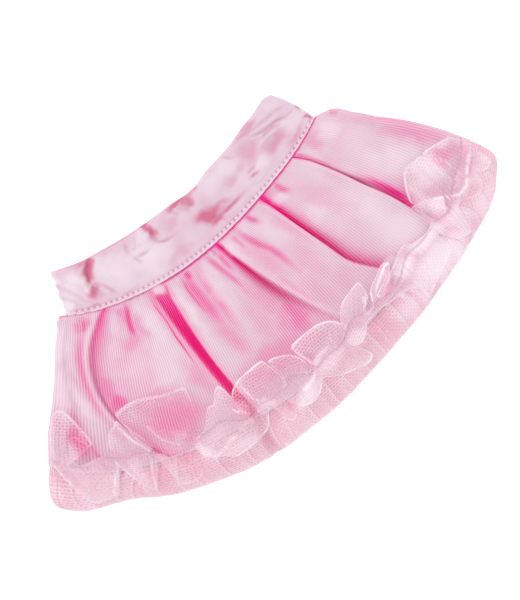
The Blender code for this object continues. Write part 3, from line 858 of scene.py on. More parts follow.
# Sharp folds in the loose net, as pale lines.
NET_FOLDS = table(
    Crease,
    ([(-111.9, -5), (-112.3, -12), (-111.8, -24), (-110.5, -34)], 0.5, -0.3, 0.7),
    ([(-106.3, -11.6), (-101.7, -13), (-95.4, -16.5), (-91.2, -18.7)], 0.5, -0.3, 0.6),
    ([(-90.4, -19.4), (-89.7, -25), (-94, -29.2), (-98.9, -33.5), (-100.3, -39)], 0.5, -0.3, 0.7),
    ([(-89.7, -25), (-88.4, -31), (-87.6, -38), (-87.3, -46)], 0.5, -0.3, 0.7),
    ([(-75.6, -30.6), (-79.9, -37), (-83.4, -44), (-85, -48)], 0.5, -0.3, 0.6),
    ([(-79.9, -12.3), (-78.1, -20.8), (-74.9, -29.9)], 0.4, -0.2, 0.7),
    ([(-58, -46.2), (-53.6, -48.4), (-42.8, -46.2), (-31.1, -43.9)], 0.5, -0.3, 0.7),
    ([(-37.4, -33.6), (-32, -39.9), (-28.4, -44.4)], 0.5, -0.3, 0.8),
    ([(-26.2, -28.2), (-25.3, -38.1), (-19.5, -42.6), (-19, -45.3)], 0.5, -0.3, 0.7),
    ([(-11.2, -50.4), (-5, -47.7), (1.2, -45.8), (5.8, -42), (13.5, -39.6)], 0.8, -0.5, 0.9),
    ([(-10.4, -52.7), (-1.9, -48), (4, -46.5)], 0.5, -0.3, 0.6),
    ([(0.8, -30.4), (2.7, -35.8), (4.2, -41), (8.8, -39.6), (15.8, -38.8),
      (18, -34.2)], 0.5, -0.3, 0.7),
    ([(21.9, -32), (25.4, -35.8), (24.2, -39.6), (22.7, -43.5)], 0.5, -0.3, 0.7),
    ([(42.9, -25.2), (42.5, -30.4), (41, -34.4), (35.8, -39.6)], 0.6, -0.3, 0.8),
    ([(35.8, -38), (38, -32.7), (41.2, -29.6)], 0.5, -0.3, 0.6),
    ([(40, -36.7), (46, -31), (54, -25.8), (57.5, -25.8), (57, -28.5),
      (47, -34.5)], 0.7, -0.4, 0.9),
    ([(43.5, -39.5), (52, -40.5), (58.6, -42.3), (62.1, -47.3), (63, -52)], 0.5, -0.3, 0.7),
    ([(81.3, -13.4), (89.4, -16.3), (98.4, -20.8), (102.9, -19.9), (108.3, -13.6),
      (117.3, -4)], 0.7, -0.4, 0.9),
    ([(83.1, -14.5), (85.8, -21.6), (88.5, -27.9), (93.9, -38.7)], 0.5, -0.3, 0.6),
    ([(96.6, -24.3), (97, -29.7), (95.7, -36.9)], 0.5, -0.3, 0.8),
    ([(95.7, 1), (102, -5.5), (102.9, -10), (102, -13.6)], 0.5, -0.3, 0.6),
)
# Where the loose net lies double and looks paler (negative), and where it is painted rosier as
# shade, over the skirt that shows through (positive).
NET_PATCHES = table(
    Patch,
    (-108, -11, 3.5, 8, 0, 0, -0.25), (-95, -29, 6, 4, -30, 0, -0.2),
    (-85, -34, 3.5, 8, 0, 0, -0.3), (-105, -27, 19, 13, 25, 0, -0.13),
    (-56, -43, 3.5, 5, 0, 0, -0.45), (-48, -39, 6, 7, -30, 0, -0.25),
    (-41, -51, 10, 3, -8, 0, -0.3), (-23, -42.6, 5, 2.5, -20, 0, -0.5),
    (-20, -32.5, 7, 5.5, 0, 0, 0.3), (-18, -54, 5, 5, 0, 0, -0.3),
    (-6.2, -51, 9, 3.6, 25, 0, -0.5), (8.8, -45, 11, 4, 15, 0, -0.4),
    (26.5, -43.5, 5.5, 4, 0, 0, -0.45), (17, -54, 9, 4, 0, 0, -0.2),
    (32, -31, 6, 4, 30, 0, -0.12), (53, -28, 5, 2, 35, 0, -0.3),
    (76, -38.5, 19, 9, 10, 0, -0.72), (66, -28, 8, 3, 5, 0, -0.3),
    (93, -32, 3.5, 8, -10, 0, -0.35), (93.5, -4.5, 7.5, 8, 0, 0, -0.62),
    (88.5, -21, 4.5, 6.5, 10, 0, -0.55), (-31.5, -37, 3, 4, 0, 0, -0.35),
    (101, -15.5, 7, 3, 15, 0, -0.3), (-120, -19, 4, 7, 0, 0, -0.3),
    (108, 1.3, 6, 1.6, 0, 0, -0.3), (118, -15.5, 5, 3.6, 0, 0, -0.4),
    (107, -29, 12, 5, 25, 0, -0.5), (52, -47, 9, 6, 10, 0, -0.45),
    (-97.8, -7, 3.6, 7.5, 0, 0, 0.6), (-100, -14.5, 5, 2, -15, 0, 0.3),
    (-81.5, -16, 1.8, 4, 0, 0, 0.35), (-87, -21.5, 1.6, 3, 20, 0, 0.4),
    (-73, -31, 3, 2.2, 0, 0, 0.65), (-59, -22, 13, 10, -20, 0, 0.85),
    (-54, -35.5, 1.8, 1.8, 0, 0, 0.5), (-66, -38.5, 5, 3, -30, 0, 0.3),
    (-80.5, -39, 4, 5, 0, 0, 0.22), (-53, -54, 6, 3, -10, 0, 0.25),
    (-30.5, -37.5, 5, 6.5, 35, 0, 0.6), (-31, -56, 2, 5, 0, 0, 0.25),
    (4, -38.5, 3, 4, 0, 0, 0.4), (-14.6, -50.5, 2, 2.2, 0, 0, 0.5),
    (34.2, -48.5, 1.7, 6, 0, 0, 0.4), (6.5, -53, 3.5, 2.2, 0, 0, 0.25),
    (-18, -49, 6, 1.6, 0, 0, 0.3), (12, -34, 8, 3, 0, 0, 0.22),
    (-5, -37, 4, 5, 0, 0, 0.25), (40.5, -48, 4, 6, 0, 0, 0.25),
    (50, -35, 4, 1.6, 30, 0, 0.45), (86.7, -31.5, 3, 6, -15, 0, 0.3),
    (106, -14.5, 5, 2.6, 30, 0, 0.4), (109.5, -5, 5, 4.5, -20, 0, 0.35),
    (59.5, -37, 2, 3, 0, 0, 0.2), (103, -24, 8, 3, 25, 0, 0.18),
    (61, -31.5, 6.5, 5, 20, 0, -0.7), (76, -27.5, 13, 3.6, 5, 0, -0.7),
    (93, -28, 10, 8, 0, 0, -0.5), (86, -8, 4, 8, -20, 0, -0.4),
    (112, -21, 10, 7, 30, 0, -0.35), (101, -3.5, 4, 5, 0, 0, 0.3),
    (-12, -37, 19, 5, 0, 0, 0.42), (3.5, -39.5, 3, 4, 0, 0, 0.9),
    (-63, -40.3, 4.5, 2.6, 0, 0, 0.6), (-64, -47.5, 4.5, 4, 0, 0, 0.3),
    (-54, -33, 9, 3.4, 35, 0, 0.9), (61, -44, 3.6, 8, 0, 0, -0.6),
    (-16, -54, 5, 3, 0, 0, 0.25),
)

FLOUNCE_COLUMNS = 900
FLOUNCE_ROWS = 10
HEM_HEIGHT = 0.55  # of a pleat's height that is left at the flounce's edge

# The flounce's tucks from left to right, for each of its two layers: their x at the seam and at
# the free edge, and how wide the cloth is folded back there.
OUTER_TUCKS = (
    (-113, -121, 3.0), (-110, -113.8, 4.0), (-103, -108, 3.0), (-93, -100, 5.0),
    (-86, -93, 3.0), (-77, -84.5, 5.0), (-70, -75, 6.0), (-62, -66, 3.5), (-53, -55, 6.0),
    (-46, -48, 4.0), (-39, -42, 4.0), (-33, -35, 3.5), (-26, -29, 4.0), (-19, -23, 5.0),
    (-9, -9, 4.0), (2, 2, 5.0), (10, 11.2, 4.0), (20, 21, 5.0), (30, 32, 3.0),
    (35, 36, 3.0), (44, 45.5, 5.0), (52, 55, 4.0), (60, 64, 5.0), (69, 74, 4.0),
    (79, 86, 5.0), (86, 92, 4.0), (93, 98, 5.0), (101, 106, 3.0), (108, 114, 4.0),
    (113, 120, 3.0),
)
INNER_TUCKS = (
    (-110, -117, 3.5), (-99, -105, 4.0), (-89, -96, 4.0), (-81, -88, 4.0), (-73, -79, 4.5),
    (-65, -70, 4.0), (-57, -60, 4.0), (-49, -52, 4.5), (-36, -38, 4.5), (-29, -32, 3.5),
    (-15, -16, 5.0), (-4, -4, 4.0), (6, 6, 4.0), (15, 16, 4.0), (26, 27, 4.0), (40, 41, 4.0),
    (48, 50, 4.0), (56, 59, 4.0), (65, 69, 4.0), (74, 80, 4.0), (83, 89, 4.0),
    (97, 102, 4.0), (105, 110, 4.0), (111, 117, 3.0),
)


def net_marks(plan):
    """The loose net's fold lines, its painted rosy shade and its pale places at plan points."""
    _, line, _ = pressed(NET_FOLDS, (), plan)
    _, rosy, pale = pressed((), NET_PATCHES, plan)
    return line, rosy, pale


def tucked_columns(tucks, columns):
    """Where columns of tucked cloth lie: u at the seam and the edge, the layer and the way along.

    Going along the cloth, each tuck runs on over the next stretch and back under itself, so its
    cross-section is a flattened Z: the layer is 1 on top, 0 below and 0.5 half way.
    """
    ends = ((LINING_HEM.left_x, LINING_HEM.right_x), (HEM.left_x, HEM.right_x))
    seam, edge, layer = [0.0], [0.0], [0.5]
    for at_seam, at_edge, fold in tucks:
        u = [(x - left) / (right - left) for x, (left, right) in zip((at_seam, at_edge), ends)]
        half = [0.55 * fold / (ends[0][1] - ends[0][0]), 0.5 * fold / (ends[1][1] - ends[1][0])]
        seam += [u[0] + half[0], u[0] - half[0]]
        edge += [u[1] + half[1], u[1] - half[1]]
        layer += [1.0, 0.0]
    seam.append(1.0)
    edge.append(1.0)
    layer.append(0.5)
    run = np.concatenate([[0.0], np.cumsum(np.abs(np.diff(edge)) + 0.0008)])
    along = np.linspace(0.0, run[-1], columns + 1)
    lines = np.stack([np.interp(along, run, values) for values in (seam, edge, layer)], axis=-1)
    lines = np.clip(eased_line(lines, 2), 0.0, 1.0)
    return lines[:, 0], lines[:, 1], lines[:, 2], along * (HEM.right_x - HEM.left_x)


def front_height(u, v):
    """The height of the pleated front at any u, from the lining's hem to the flounce's edge."""
    columns = np.linspace(0.0, 1.0, 1201)
    known_u, known_height, _, _ = front_form(columns, np.full_like(columns, 1.0))
    height = eased_line(np.interp(columns, known_u, known_height)[:, None], 12)[:, 0]
    height = np.interp(u, columns, height)
    return lerp(height, height * HEM_HEIGHT, smooth(1.0, 2.0, v))


def flounce_layer(name, tucks, lift, short):
    """One layer of the flounce's front, lifted by so much and ending short of the edge."""
    at_seam, at_edge, layer, along = tucked_columns(tucks, FLOUNCE_COLUMNS)
    sheet, s, down = grid_sheet(name, FLOUNCE_COLUMNS, FLOUNCE_ROWS)
    down = 1.0 - (1.0 - down) ** 1.5
    column = np.rint(s * FLOUNCE_COLUMNS).astype(int)
    v = 1.0 + down * (1.0 - short)
    u = lerp(at_seam[column], at_edge[column], down)
    plan = skirt_plan(u, v)
    base = lerp(FRONT_NET_AT + 0.1, 1.9, smooth(1.0, 2.0, v)) + lift
    flutter = np.sin(2.0 * pi * 9.0 * u + 2.0 * np.sin(2.0 * pi * 4.0 * u))
    flutter = flutter + np.sin(2.0 * pi * 23.0 * u)
    z = base + front_height(u, v) + 0.5 * layer[column] + down * (0.5 * flutter + 0.6)
    place_points(sheet, plan, z)
    flat_uv(sheet, along[column], -down * FLOUNCE_LENGTH)
    fold = np.exp(-((np.minimum(layer[column], 1.0 - layer[column]) / 0.10) ** 2))
    line, rosy, pale = net_marks(plan)
    # Painted shade on the cloth that lies under each tuck, less towards the edge, and the painted
    # rosy shade of the net's marks.
    under = 0.4 * (1.0 - layer[column]) * lerp(1.0, 0.4, down)
    paint(sheet, "glow", np.maximum(under, 0.7 * rosy))
    paint(sheet, "edge", np.maximum.reduce([0.7 * (down > 0.99), 0.45 * fold, line, pale]))
    return sheet


class TUTU_OT_flounce(bpy.types.Operator):
    """Make the tucked net flounce below the lining's hem, in two layers in front"""

    bl_idname = "tutu.flounce"
    bl_label = "Flounce"

    def execute(self, context):
        net = trim_net(
            "flounce_net", cover=0.50, thin=0.18, between=0.285, shine=0.09, contrast=0.72
        )
        thick, slot = sizes().net_thickness, "trim_net"
        under_layer = flounce_layer("flounce_net_under", INNER_TUCKS, lift=0.0, short=0.03)
        front_layer = flounce_layer("flounce_net_front", OUTER_TUCKS, lift=0.9, short=0.0)
        for sheet in (under_layer, front_layer):
            finish_piece(sheet, thick, "flounce_front", net)
        sheet = back_sheet("flounce_net_back", (300, 14), (1.0, 2.0), lies_at=0.45, ripple=0.15)
        finish_piece(sheet, thick, "flounce_back", net)
        return {"FINISHED"}


# ---------------------------------------------------------------------------------------------
# Ruffle

RUFFLE_SEAM = 0.94  # v of the seam that runs along the ruffle's middle
SEEN_FROM = 623.0  # height over the skirt from which the ruffle's edges look as given below
SEEN_OVER = (2.6, -5.4)  # the place straight below it
RUFFLE_HALF = 24.0  # width of the strip on each side of the seam
RUFFLE_COLUMNS = 900
RUFFLE_ROWS = 13  # on each side of the seam
# Where the rows are, as shares of the way to the free edge: the last two make its rolled hem.
ROLLED_HEM = 0.96
RUFFLE_PLACES = ROLLED_HEM * (1.0 - (1.0 - np.linspace(0.0, 1.0, RUFFLE_ROWS - 1)) ** 1.5)
RUFFLE_PLACES = np.append(RUFFLE_PLACES, (0.975, 1.0))

# The ruffle's two free edges from left to right. Each row has the x of the place on the seam that
# the edge's point belongs to, the point's x and y, and its height over what it lies on.
UPPER_EDGE = (
    (-114.5, -118, -14, 1.5), (-114, -114.5, -8, 1.8), (-113.4, -111.8, -3, 2.0),
    (-112.8, -109, 2, 2.0), (-112.2, -104.5, 7, 2.0), (-111.6, -100.7, 10, 2.0),
    (-111, -97.4, 9.2, 2.2), (-110.4, -96, 4, 2.5), (-109.9, -95.2, -2, 2.5),
    (-109.4, -94.9, -8, 3.0), (-108.8, -95.6, -12.6, 3.5), (-108.2, -98, -8, 4.5),
    (-107.6, -100.3, -3, 5.0), (-107, -103.8, -6, 5.0), (-106.4, -106.2, -9.8, 5.0),
    (-105.6, -106.6, -14, 5.5), (-104.6, -104.5, -17.5, 5.0), (-103, -101, -19, 4.0),
    (-101, -97, -19.5, 3.0), (-98, -93.5, -20.5, 3.0), (-95.2, -91, -20.5, 4.0),
    (-93.4, -90.2, -18, 5.0), (-92, -89.6, -15.2, 5.0), (-89.5, -86.6, -12.3, 4.5),
    (-86, -83, -10.8, 4.0), (-83, -80.6, -9.8, 3.5), (-81.5, -79.8, -14, 3.5),
    (-80, -77.8, -23, 3.0), (-79, -75.3, -30, 3.0), (-78.5, -75.1, -26, 3.0),
    (-78, -77, -19, 2.5), (-77.5, -79, -12, 2.2), (-77, -79.8, -7.8, 1.8),
    (-76, -78, -6.8, 1.6), (-74, -74, -6.6, 1.5), (-71, -69, -7.2, 1.3),
    (-68, -64, -9.2, 1.2), (-65.5, -58, -12.4, 1.2), (-63.5, -52, -14.2, 1.2),
    (-62, -48, -15.5, 1.3), (-61, -47.6, -18, 1.5), (-60, -49.5, -25, 2.0),
    (-59.5, -52, -32, 3.0), (-59, -54, -35.5, 4.0), (-58.5, -58, -32.5, 5.0),
    (-58, -64, -28, 5.0), (-57.5, -69.5, -23.5, 4.5), (-57, -71.8, -18.5, 4.0),
    (-56.6, -71.2, -23, 4.5), (-56.3, -70, -28, 5.0), (-56, -66.5, -33.5, 5.5),
    (-55.6, -61, -37.5, 6.0), (-55.2, -57.5, -38.5, 7.0), (-54.5, -54, -37.3, 7.0),
    (-53, -50, -35, 6.5), (-51, -47, -31.5, 6.0), (-49, -44.3, -29.2, 5.5),
    (-47, -42, -30.2, 6.0), (-45, -39.5, -27.5, 5.5), (-42.5, -37.3, -25, 5.0),
    (-40, -35.2, -24.6, 5.0), (-38, -34.2, -27, 5.5), (-36.8, -33.7, -30.8, 6.0),
    (-35.4, -33.3, -32.8, 6.0), (-33.6, -32.8, -31.4, 5.5), (-31.5, -31, -29.8, 5.0),
    (-28.8, -28.6, -28.4, 5.0), (-25.5, -25.5, -27.6, 5.0),
    (-22, -20, -27.2, 5.0), (-19.5, -15.5, -26.9, 5.0), (-17.5, -12.9, -27.4, 5.0),
    (-16, -11.8, -31, 6.0), (-15, -10.6, -36, 6.5), (-14, -10.2, -40, 7.0),
    (-13, -11.5, -43.5, 7.0), (-12, -9.5, -40, 6.0), (-11, -10, -34, 3.5),
    (-10, -11.5, -29.5, 3.0), (-8.5, -9, -29.2, 3.5), (-7, -5, -30.6, 4.0),
    (-5.5, -1.5, -32.7, 4.5), (-4, 0.8, -36, 5.5), (-3, 2, -39.5, 6.5),
    (-2, 1.7, -42, 7.5), (-1, -1, -45, 8.0), (0, 2, -43, 7.0),
    (1, 4.5, -40.5, 6.0), (2, 2.2, -35.5, 5.0), (3, 0.6, -31.5, 4.5),
    (5, 1.8, -29.9, 4.0), (8, 6, -29.3, 4.0), (11, 11, -29.1, 4.0),
    (14, 16, -29.2, 4.5), (16.5, 20.5, -30.6, 5.0), (18, 23.5, -32.8, 5.5),
    (19.5, 25, -35.3, 6.5), (20.3, 24, -38, 7.0), (21, 25.6, -34.5, 7.0),
    (22.5, 28.5, -30.3, 7.0), (24.5, 31.5, -28, 7.0), (27, 35.5, -26.7, 7.0),
    (29.5, 39.5, -25.6, 6.5), (31.5, 42.3, -25, 6.0), (33, 42.8, -27, 6.0),
    (34, 42.3, -31, 6.5), (35, 41.5, -34.2, 7.0), (35.8, 40, -31, 8.5),
    (36.5, 37.8, -34.5, 9.0), (37.3, 35.5, -38.5, 9.0), (38.2, 38, -39.5, 8.0),
    (39.2, 41.5, -38, 7.0), (40.2, 42.2, -35.5, 7.5), (41.2, 43.5, -32.3, 7.5),
    (42.5, 46.5, -29.9, 7.5), (44, 50.5, -27.8, 7.0), (46, 54.5, -25.4, 6.5),
    (48, 57.2, -25.1, 6.0), (49.5, 58.6, -26.8, 6.0), (50.5, 57, -29, 6.5),
    (51.5, 53.5, -31, 7.0), (52.3, 49, -33.2, 8.0), (53, 44.5, -35.4, 8.5),
    (54, 47, -37, 6.0), (55.5, 52.5, -34.5, 4.5), (57, 55, -31.5, 3.5),
    (59, 58.5, -29, 3.0), (61.5, 62, -26.8, 2.5), (64, 66.5, -24.6, 2.2),
    (67, 69.8, -24.6, 2.2), (69.5, 71.5, -26.2, 2.0), (72, 75, -26, 1.6),
    (75, 78.5, -26.2, 1.5), (78, 82, -25.6, 1.5), (80.5, 85, -25, 1.6),
    (82.5, 84.8, -21, 1.8), (84, 83, -16.5, 2.2), (85, 80.8, -13.2, 2.6),
    (86, 83.5, -13.2, 3.5), (87, 88, -14.2, 4.0), (88.5, 93, -16, 4.5),
    (90, 96, -18, 5.0), (91, 88, -15.5, 2.5), (91.6, 82.2, -12.2, 1.8),
    (92.2, 82.8, -7.5, 1.8), (93, 85.2, -2, 2.0), (94, 88, 1.8, 2.2),
    (95.5, 91, 3.4, 2.5), (97, 94, 2.8, 3.0), (98, 97.5, 3.2, 3.0),
    (98.8, 99.8, 0.5, 3.5), (99.6, 101.2, -4, 4.0), (100.3, 102.6, -9, 4.5),
    (101, 102, -14, 5.0), (101.6, 100, -8, 2.5), (102.2, 98.5, 0, 2.0),
    (103, 99.5, 3.4, 1.8), (104.5, 104, 3.4, 1.8), (106, 109, 2.8, 1.8),
    (107.5, 113.3, 2.1, 1.6), (108.8, 115.2, -0.5, 1.5), (110, 116.6, -4, 1.6),
    (111, 115, -7.5, 2.5), (112, 112.8, -12, 3.5), (113.5, 115, -11, 3.5),
    (115, 118.5, -11.5, 2.5), (116.8, 121, -13, 2.0),
)
LOWER_EDGE = (
    (-114.5, -114, -20, 1.5), (-113.5, -112.5, -27, 1.2), (-112, -110.5, -33.5, 0.8),
    (-109, -106, -35.5, 0.8), (-106, -102, -36.5, 0.8), (-104, -99.3, -36.8, 0.8),
    (-102.5, -96, -32.5, 1.0), (-100.5, -92.5, -28, 1.6), (-98, -90.3, -25.8, 2.2),
    (-95.5, -90, -31, 1.6), (-93.5, -89, -38, 1.0), (-91, -87, -43, 0.8),
    (-88.5, -84.8, -45, 0.8), (-86.5, -81.5, -41.5, 1.0), (-84, -77.5, -35.5, 1.6),
    (-81, -74.5, -33, 2.4), (-78, -72, -37, 2.4), (-76, -74.5, -45, 1.2),
    (-74, -74, -50.5, 0.8), (-71, -68, -52.5, 0.8), (-68, -63.5, -51.5, 0.8),
    (-65.5, -63, -46, 1.4), (-63, -63.5, -42, 2.2), (-61, -60.8, -40.5, 3.5),
    (-59.5, -59.6, -42.5, 4.0), (-58, -58.8, -46, 4.0), (-56, -55.5, -49, 3.5),
    (-53, -51, -51.8, 2.8), (-50, -47, -54.9, 2.2), (-46, -41.5, -55.4, 1.8),
    (-42, -35, -54.8, 1.8), (-38, -30, -53.7, 2.0), (-34, -27, -51.5, 2.6),
    (-31, -25, -48.5, 3.4), (-28, -23, -46.5, 4.0), (-25, -20.3, -47.8, 2.6),
    (-22, -20.5, -53, 1.2), (-19.5, -18, -57, 0.8), (-17.5, -15, -56, 1.0),
    (-16, -13.8, -51, 3.0), (-15, -14.2, -48.2, 4.5), (-13.5, -12.6, -52.3, 4.5),
    (-11.5, -10, -55, 4.0), (-8.5, -5.5, -55.8, 3.4), (-5, -0.5, -54.3, 3.0),
    (-2, 2.8, -51, 3.0), (0, 4.5, -50, 3.0), (2.5, 8, -52, 2.2),
    (5.5, 12.5, -54.2, 1.6), (9, 18, -55.7, 1.2), (13, 24, -57, 1.0),
    (16, 28, -55, 1.2), (18, 26, -50, 2.0), (20, 22.6, -44.5, 4.0),
    (22, 23.6, -46.6, 5.0), (24, 26.3, -47.8, 5.5), (27, 30, -46.7, 5.5),
    (29.5, 33, -43.9, 5.5), (31.5, 34, -42, 5.0), (33.5, 36.5, -41.6, 4.5),
    (37, 41, -40.6, 4.5), (41, 45.5, -40.8, 4.0), (46, 51, -41.2, 3.4),
    (51, 56.5, -41.2, 2.8), (55, 60, -42, 2.0), (58, 62.5, -45, 1.4),
    (60.5, 63.3, -50, 0.8), (64, 68, -47.5, 0.8), (69, 74, -44.5, 0.8),
    (74, 80, -41.5, 0.8), (78, 84.5, -38.5, 0.8), (80.5, 83.7, -33, 1.2),
    (82.5, 83.5, -29.5, 1.6), (84.5, 86, -33, 1.2), (87, 89.5, -37, 0.8),
    (91, 93.5, -37.8, 0.8), (95, 96.3, -37, 0.9), (97, 97, -31, 1.5),
    (98.5, 97.6, -25.5, 2.5), (101, 101.5, -24.5, 2.0), (104, 107, -26.5, 1.0),
    (107, 112, -25, 0.8), (109.5, 113.8, -20, 1.4), (111, 112.4, -16.5, 2.5),
    (112.5, 114, -18.6, 3.0), (114, 117, -19.6, 2.5), (115.5, 120.3, -19.2, 1.6),
    (116.8, 121.8, -17.5, 1.0),
)


def seam_point(x):
    """The plan points of the ruffle's seam at places along x."""
    u = (x - LINING_HEM.left_x) / (LINING_HEM.right_x - LINING_HEM.left_x)
    v = RUFFLE_SEAM + 0.022 * np.sin(x / 6.5) + 0.014 * np.sin(x / 2.9 + 1.0)
    return skirt_plan(np.clip(u, 0.002, 0.998), v)


def smooth_path(rows, steps):
    """Points on the Catmull-Rom curve through rows, with so many steps from each to the next."""
    rows = np.array(rows, float)
    rows = np.concatenate([2.0 * rows[:1] - rows[1:2], rows, 2.0 * rows[-1:] - rows[-2:-1]])
    t = (np.arange(steps) / steps)[:, None, None]
    a, b, c, d = rows[:-3], rows[1:-2], rows[2:-1], rows[3:]
    curve = b + 0.5 * t * (c - a + t * (2 * a - 5 * b + 4 * c - d + t * (3 * (b - c) + d - a)))
    curve = curve.transpose(1, 0, 2).reshape(-1, rows.shape[1])
    curve = np.concatenate([curve, rows[-2:-1]])
    curve[:, 0] = np.maximum.accumulate(curve[:, 0])
    return curve


def ruffle_columns():
    """The seam's x and the two free edges at columns that are close together on both edges."""
    upper, lower = smooth_path(UPPER_EDGE, 12), smooth_path(LOWER_EDGE, 12)
    run = np.concatenate([p[:, 0] for p in (upper, lower)])
    order = np.sort(np.unique(run))
    far = np.zeros_like(order)
    for path in (upper, lower):
        steps = np.linalg.norm(np.diff(path[:, 1:3], axis=0), axis=1)
        far = far + np.interp(order, path[:, 0], np.concatenate([[0.0], np.cumsum(steps)]))
    seam_x = np.interp(np.linspace(far[0], far[-1], RUFFLE_COLUMNS + 1), far, order)
    edges = []
    for path in (upper, lower):
        apart = path[:, 0] + np.arange(len(path)) * 1e-9
        edge = np.stack([np.interp(seam_x, apart, path[:, k]) for k in (1, 2, 3)], axis=-1)
        edges.append(eased_line(edge, 2))
    return seam_x, edges


def tree_of(*pieces):
    """A search tree of the surfaces of pieces."""
    vertices, polygons = [], []
    for piece in pieces:
        start = len(vertices)
        vertices += [v.co.copy() for v in piece.data.vertices]
        polygons += [[start + i for i in p.vertices] for p in piece.data.polygons]
    return BVHTree.FromPolygons(vertices, polygons)


def heights_under(tree, plan):
    """The height in millimetres of the highest surface at plan points, or 0 off it."""
    found = np.zeros(len(plan))
    down = Vector((0.0, 0.0, -1.0))
    for i, (x, y) in enumerate(plan * MM):
        hit = tree.ray_cast(Vector((x, y, 0.1)), down)[0]
        if hit is not None:
            found[i] = hit.z / MM
    return found


class Ground:
    """The height of what a loose cloth would rest on: it bridges narrow hollows."""

    CELL = 1.5

    def __init__(self, tree, x_from, x_to, y_from, y_to, bridge):
        self.corner = np.array([x_from, y_from], float)
        columns = int((x_to - x_from) / self.CELL) + 1
        rows = int((y_to - y_from) / self.CELL) + 1
        x, y = np.meshgrid(np.arange(columns), np.arange(rows), indexing="ij")
        plan = np.stack([x.ravel(), y.ravel()], axis=1) * self.CELL + self.corner
        height = heights_under(tree, plan).reshape(columns, rows)
        reach = max(1, int(bridge / self.CELL))
        for axis in (0, 1):
            shifted = [self.shift(height, step, axis) for step in range(-reach, reach + 1)]
            height = np.max(shifted, axis=0)
        for _ in range(3):
            for axis in (0, 1):
                near = [self.shift(height, step, axis) for step in (-1, 0, 1)]
                height = (near[0] + 2.0 * near[1] + near[2]) / 4.0
        self.height = height

    @staticmethod
    def shift(heights, step, axis):
        """A grid of heights moved along an axis, with its border repeated."""
        index = np.clip(np.arange(heights.shape[axis]) + step, 0, heights.shape[axis] - 1)
        return np.take(heights, index, axis=axis)

    def at(self, plan):
        """Heights at plan points."""
        place = (plan - self.corner) / self.CELL
        limit = np.array(self.height.shape) - 1.001
        place = np.clip(place, 0.0, limit)
        low = np.floor(place).astype(int)
        part = place - low
        i, j = low[..., 0], low[..., 1]
        a = lerp(self.height[i, j], self.height[i + 1, j], part[..., 0])
        b = lerp(self.height[i, j + 1], self.height[i + 1, j + 1], part[..., 0])
        return lerp(a, b, part[..., 1])


def ruffle_form(seam_x, edge, out, ground):
    """The plan points and heights of the ruffle, where out is 0 at the seam and 1 at the edge."""
    seam = seam_point(seam_x)
    seam_z = ground.at(seam) + 0.5
    edge_z = ground.at(edge[..., :2]) + 0.3 + edge[..., 2]
    tip = SEEN_OVER + (edge[..., :2] - SEEN_OVER) * (1.0 - edge_z / SEEN_FROM)[..., None]
    reach = np.linalg.norm(tip - seam, axis=-1)
    chord = np.sqrt(reach**2 + (edge_z - seam_z) ** 2)
    slack = np.maximum(RUFFLE_HALF - chord, 0.0)
    arch = np.minimum(0.61 * np.sqrt(chord * slack), 2.0 + 0.30 * chord)
    curl = 3.0 * out * (1.0 - out) * (1.0 - out) + 0.6 * 3.0 * out * out * (1.0 - out)
    plan = seam + (tip - seam) * (out**1.15)[..., None]
    z = lerp(seam_z, edge_z, out) + arch * 1.1 * curl
    gathers = np.sin(2.0 * pi * seam_x / 1.9 + 2.0 * np.sin(seam_x / 3.1))
    gathers = gathers * (1.0 - out) * out * 1.4
    z = z + gathers * np.minimum(arch, 2.0) * 0.5
    return plan, np.maximum(z, ground.at(plan) + 0.25)


# How pale the ruffle's rolled hem is, along x.
PALE_HEM_AT = (-110.0, -60.0, -20.0, 55.0, 85.0)
PALE_HEM = (0.3, 0.42, 0.75, 0.75, 0.5)


def paint_ruffle(sheet, plan, x, out):
    """Paints the ruffle: its marks, its gathers, its rolled hem, and its pale upright cloth."""
    line, rosy, pale = net_marks(plan)
    standing = 0.6 * steepness(sheet) ** 2.0
    streaks = np.sin(x * 2.9 + 3.0 * np.sin(x / 4.0)) + np.sin(x * 4.7 + 2.0 * np.sin(x / 2.3))
    gathered = (0.16 + 0.06 * streaks) * np.exp(-((out / 0.35) ** 2))
    near = np.minimum(0.9, pale + gathered)
    pale_hem = np.interp(x, PALE_HEM_AT, PALE_HEM) * (out > ROLLED_HEM)
    pale_hem = pale_hem * (0.75 + 0.25 * np.sin(x * 0.9 + 2.0 * np.sin(x / 5.0)))
    # Painted shade near the gathered seam, and the painted rosy shade of the net's marks.
    paint(sheet, "glow", np.maximum(0.2 * (1.0 - out) ** 2, rosy))
    paint(sheet, "edge", np.maximum.reduce([pale_hem, standing, line, near]))


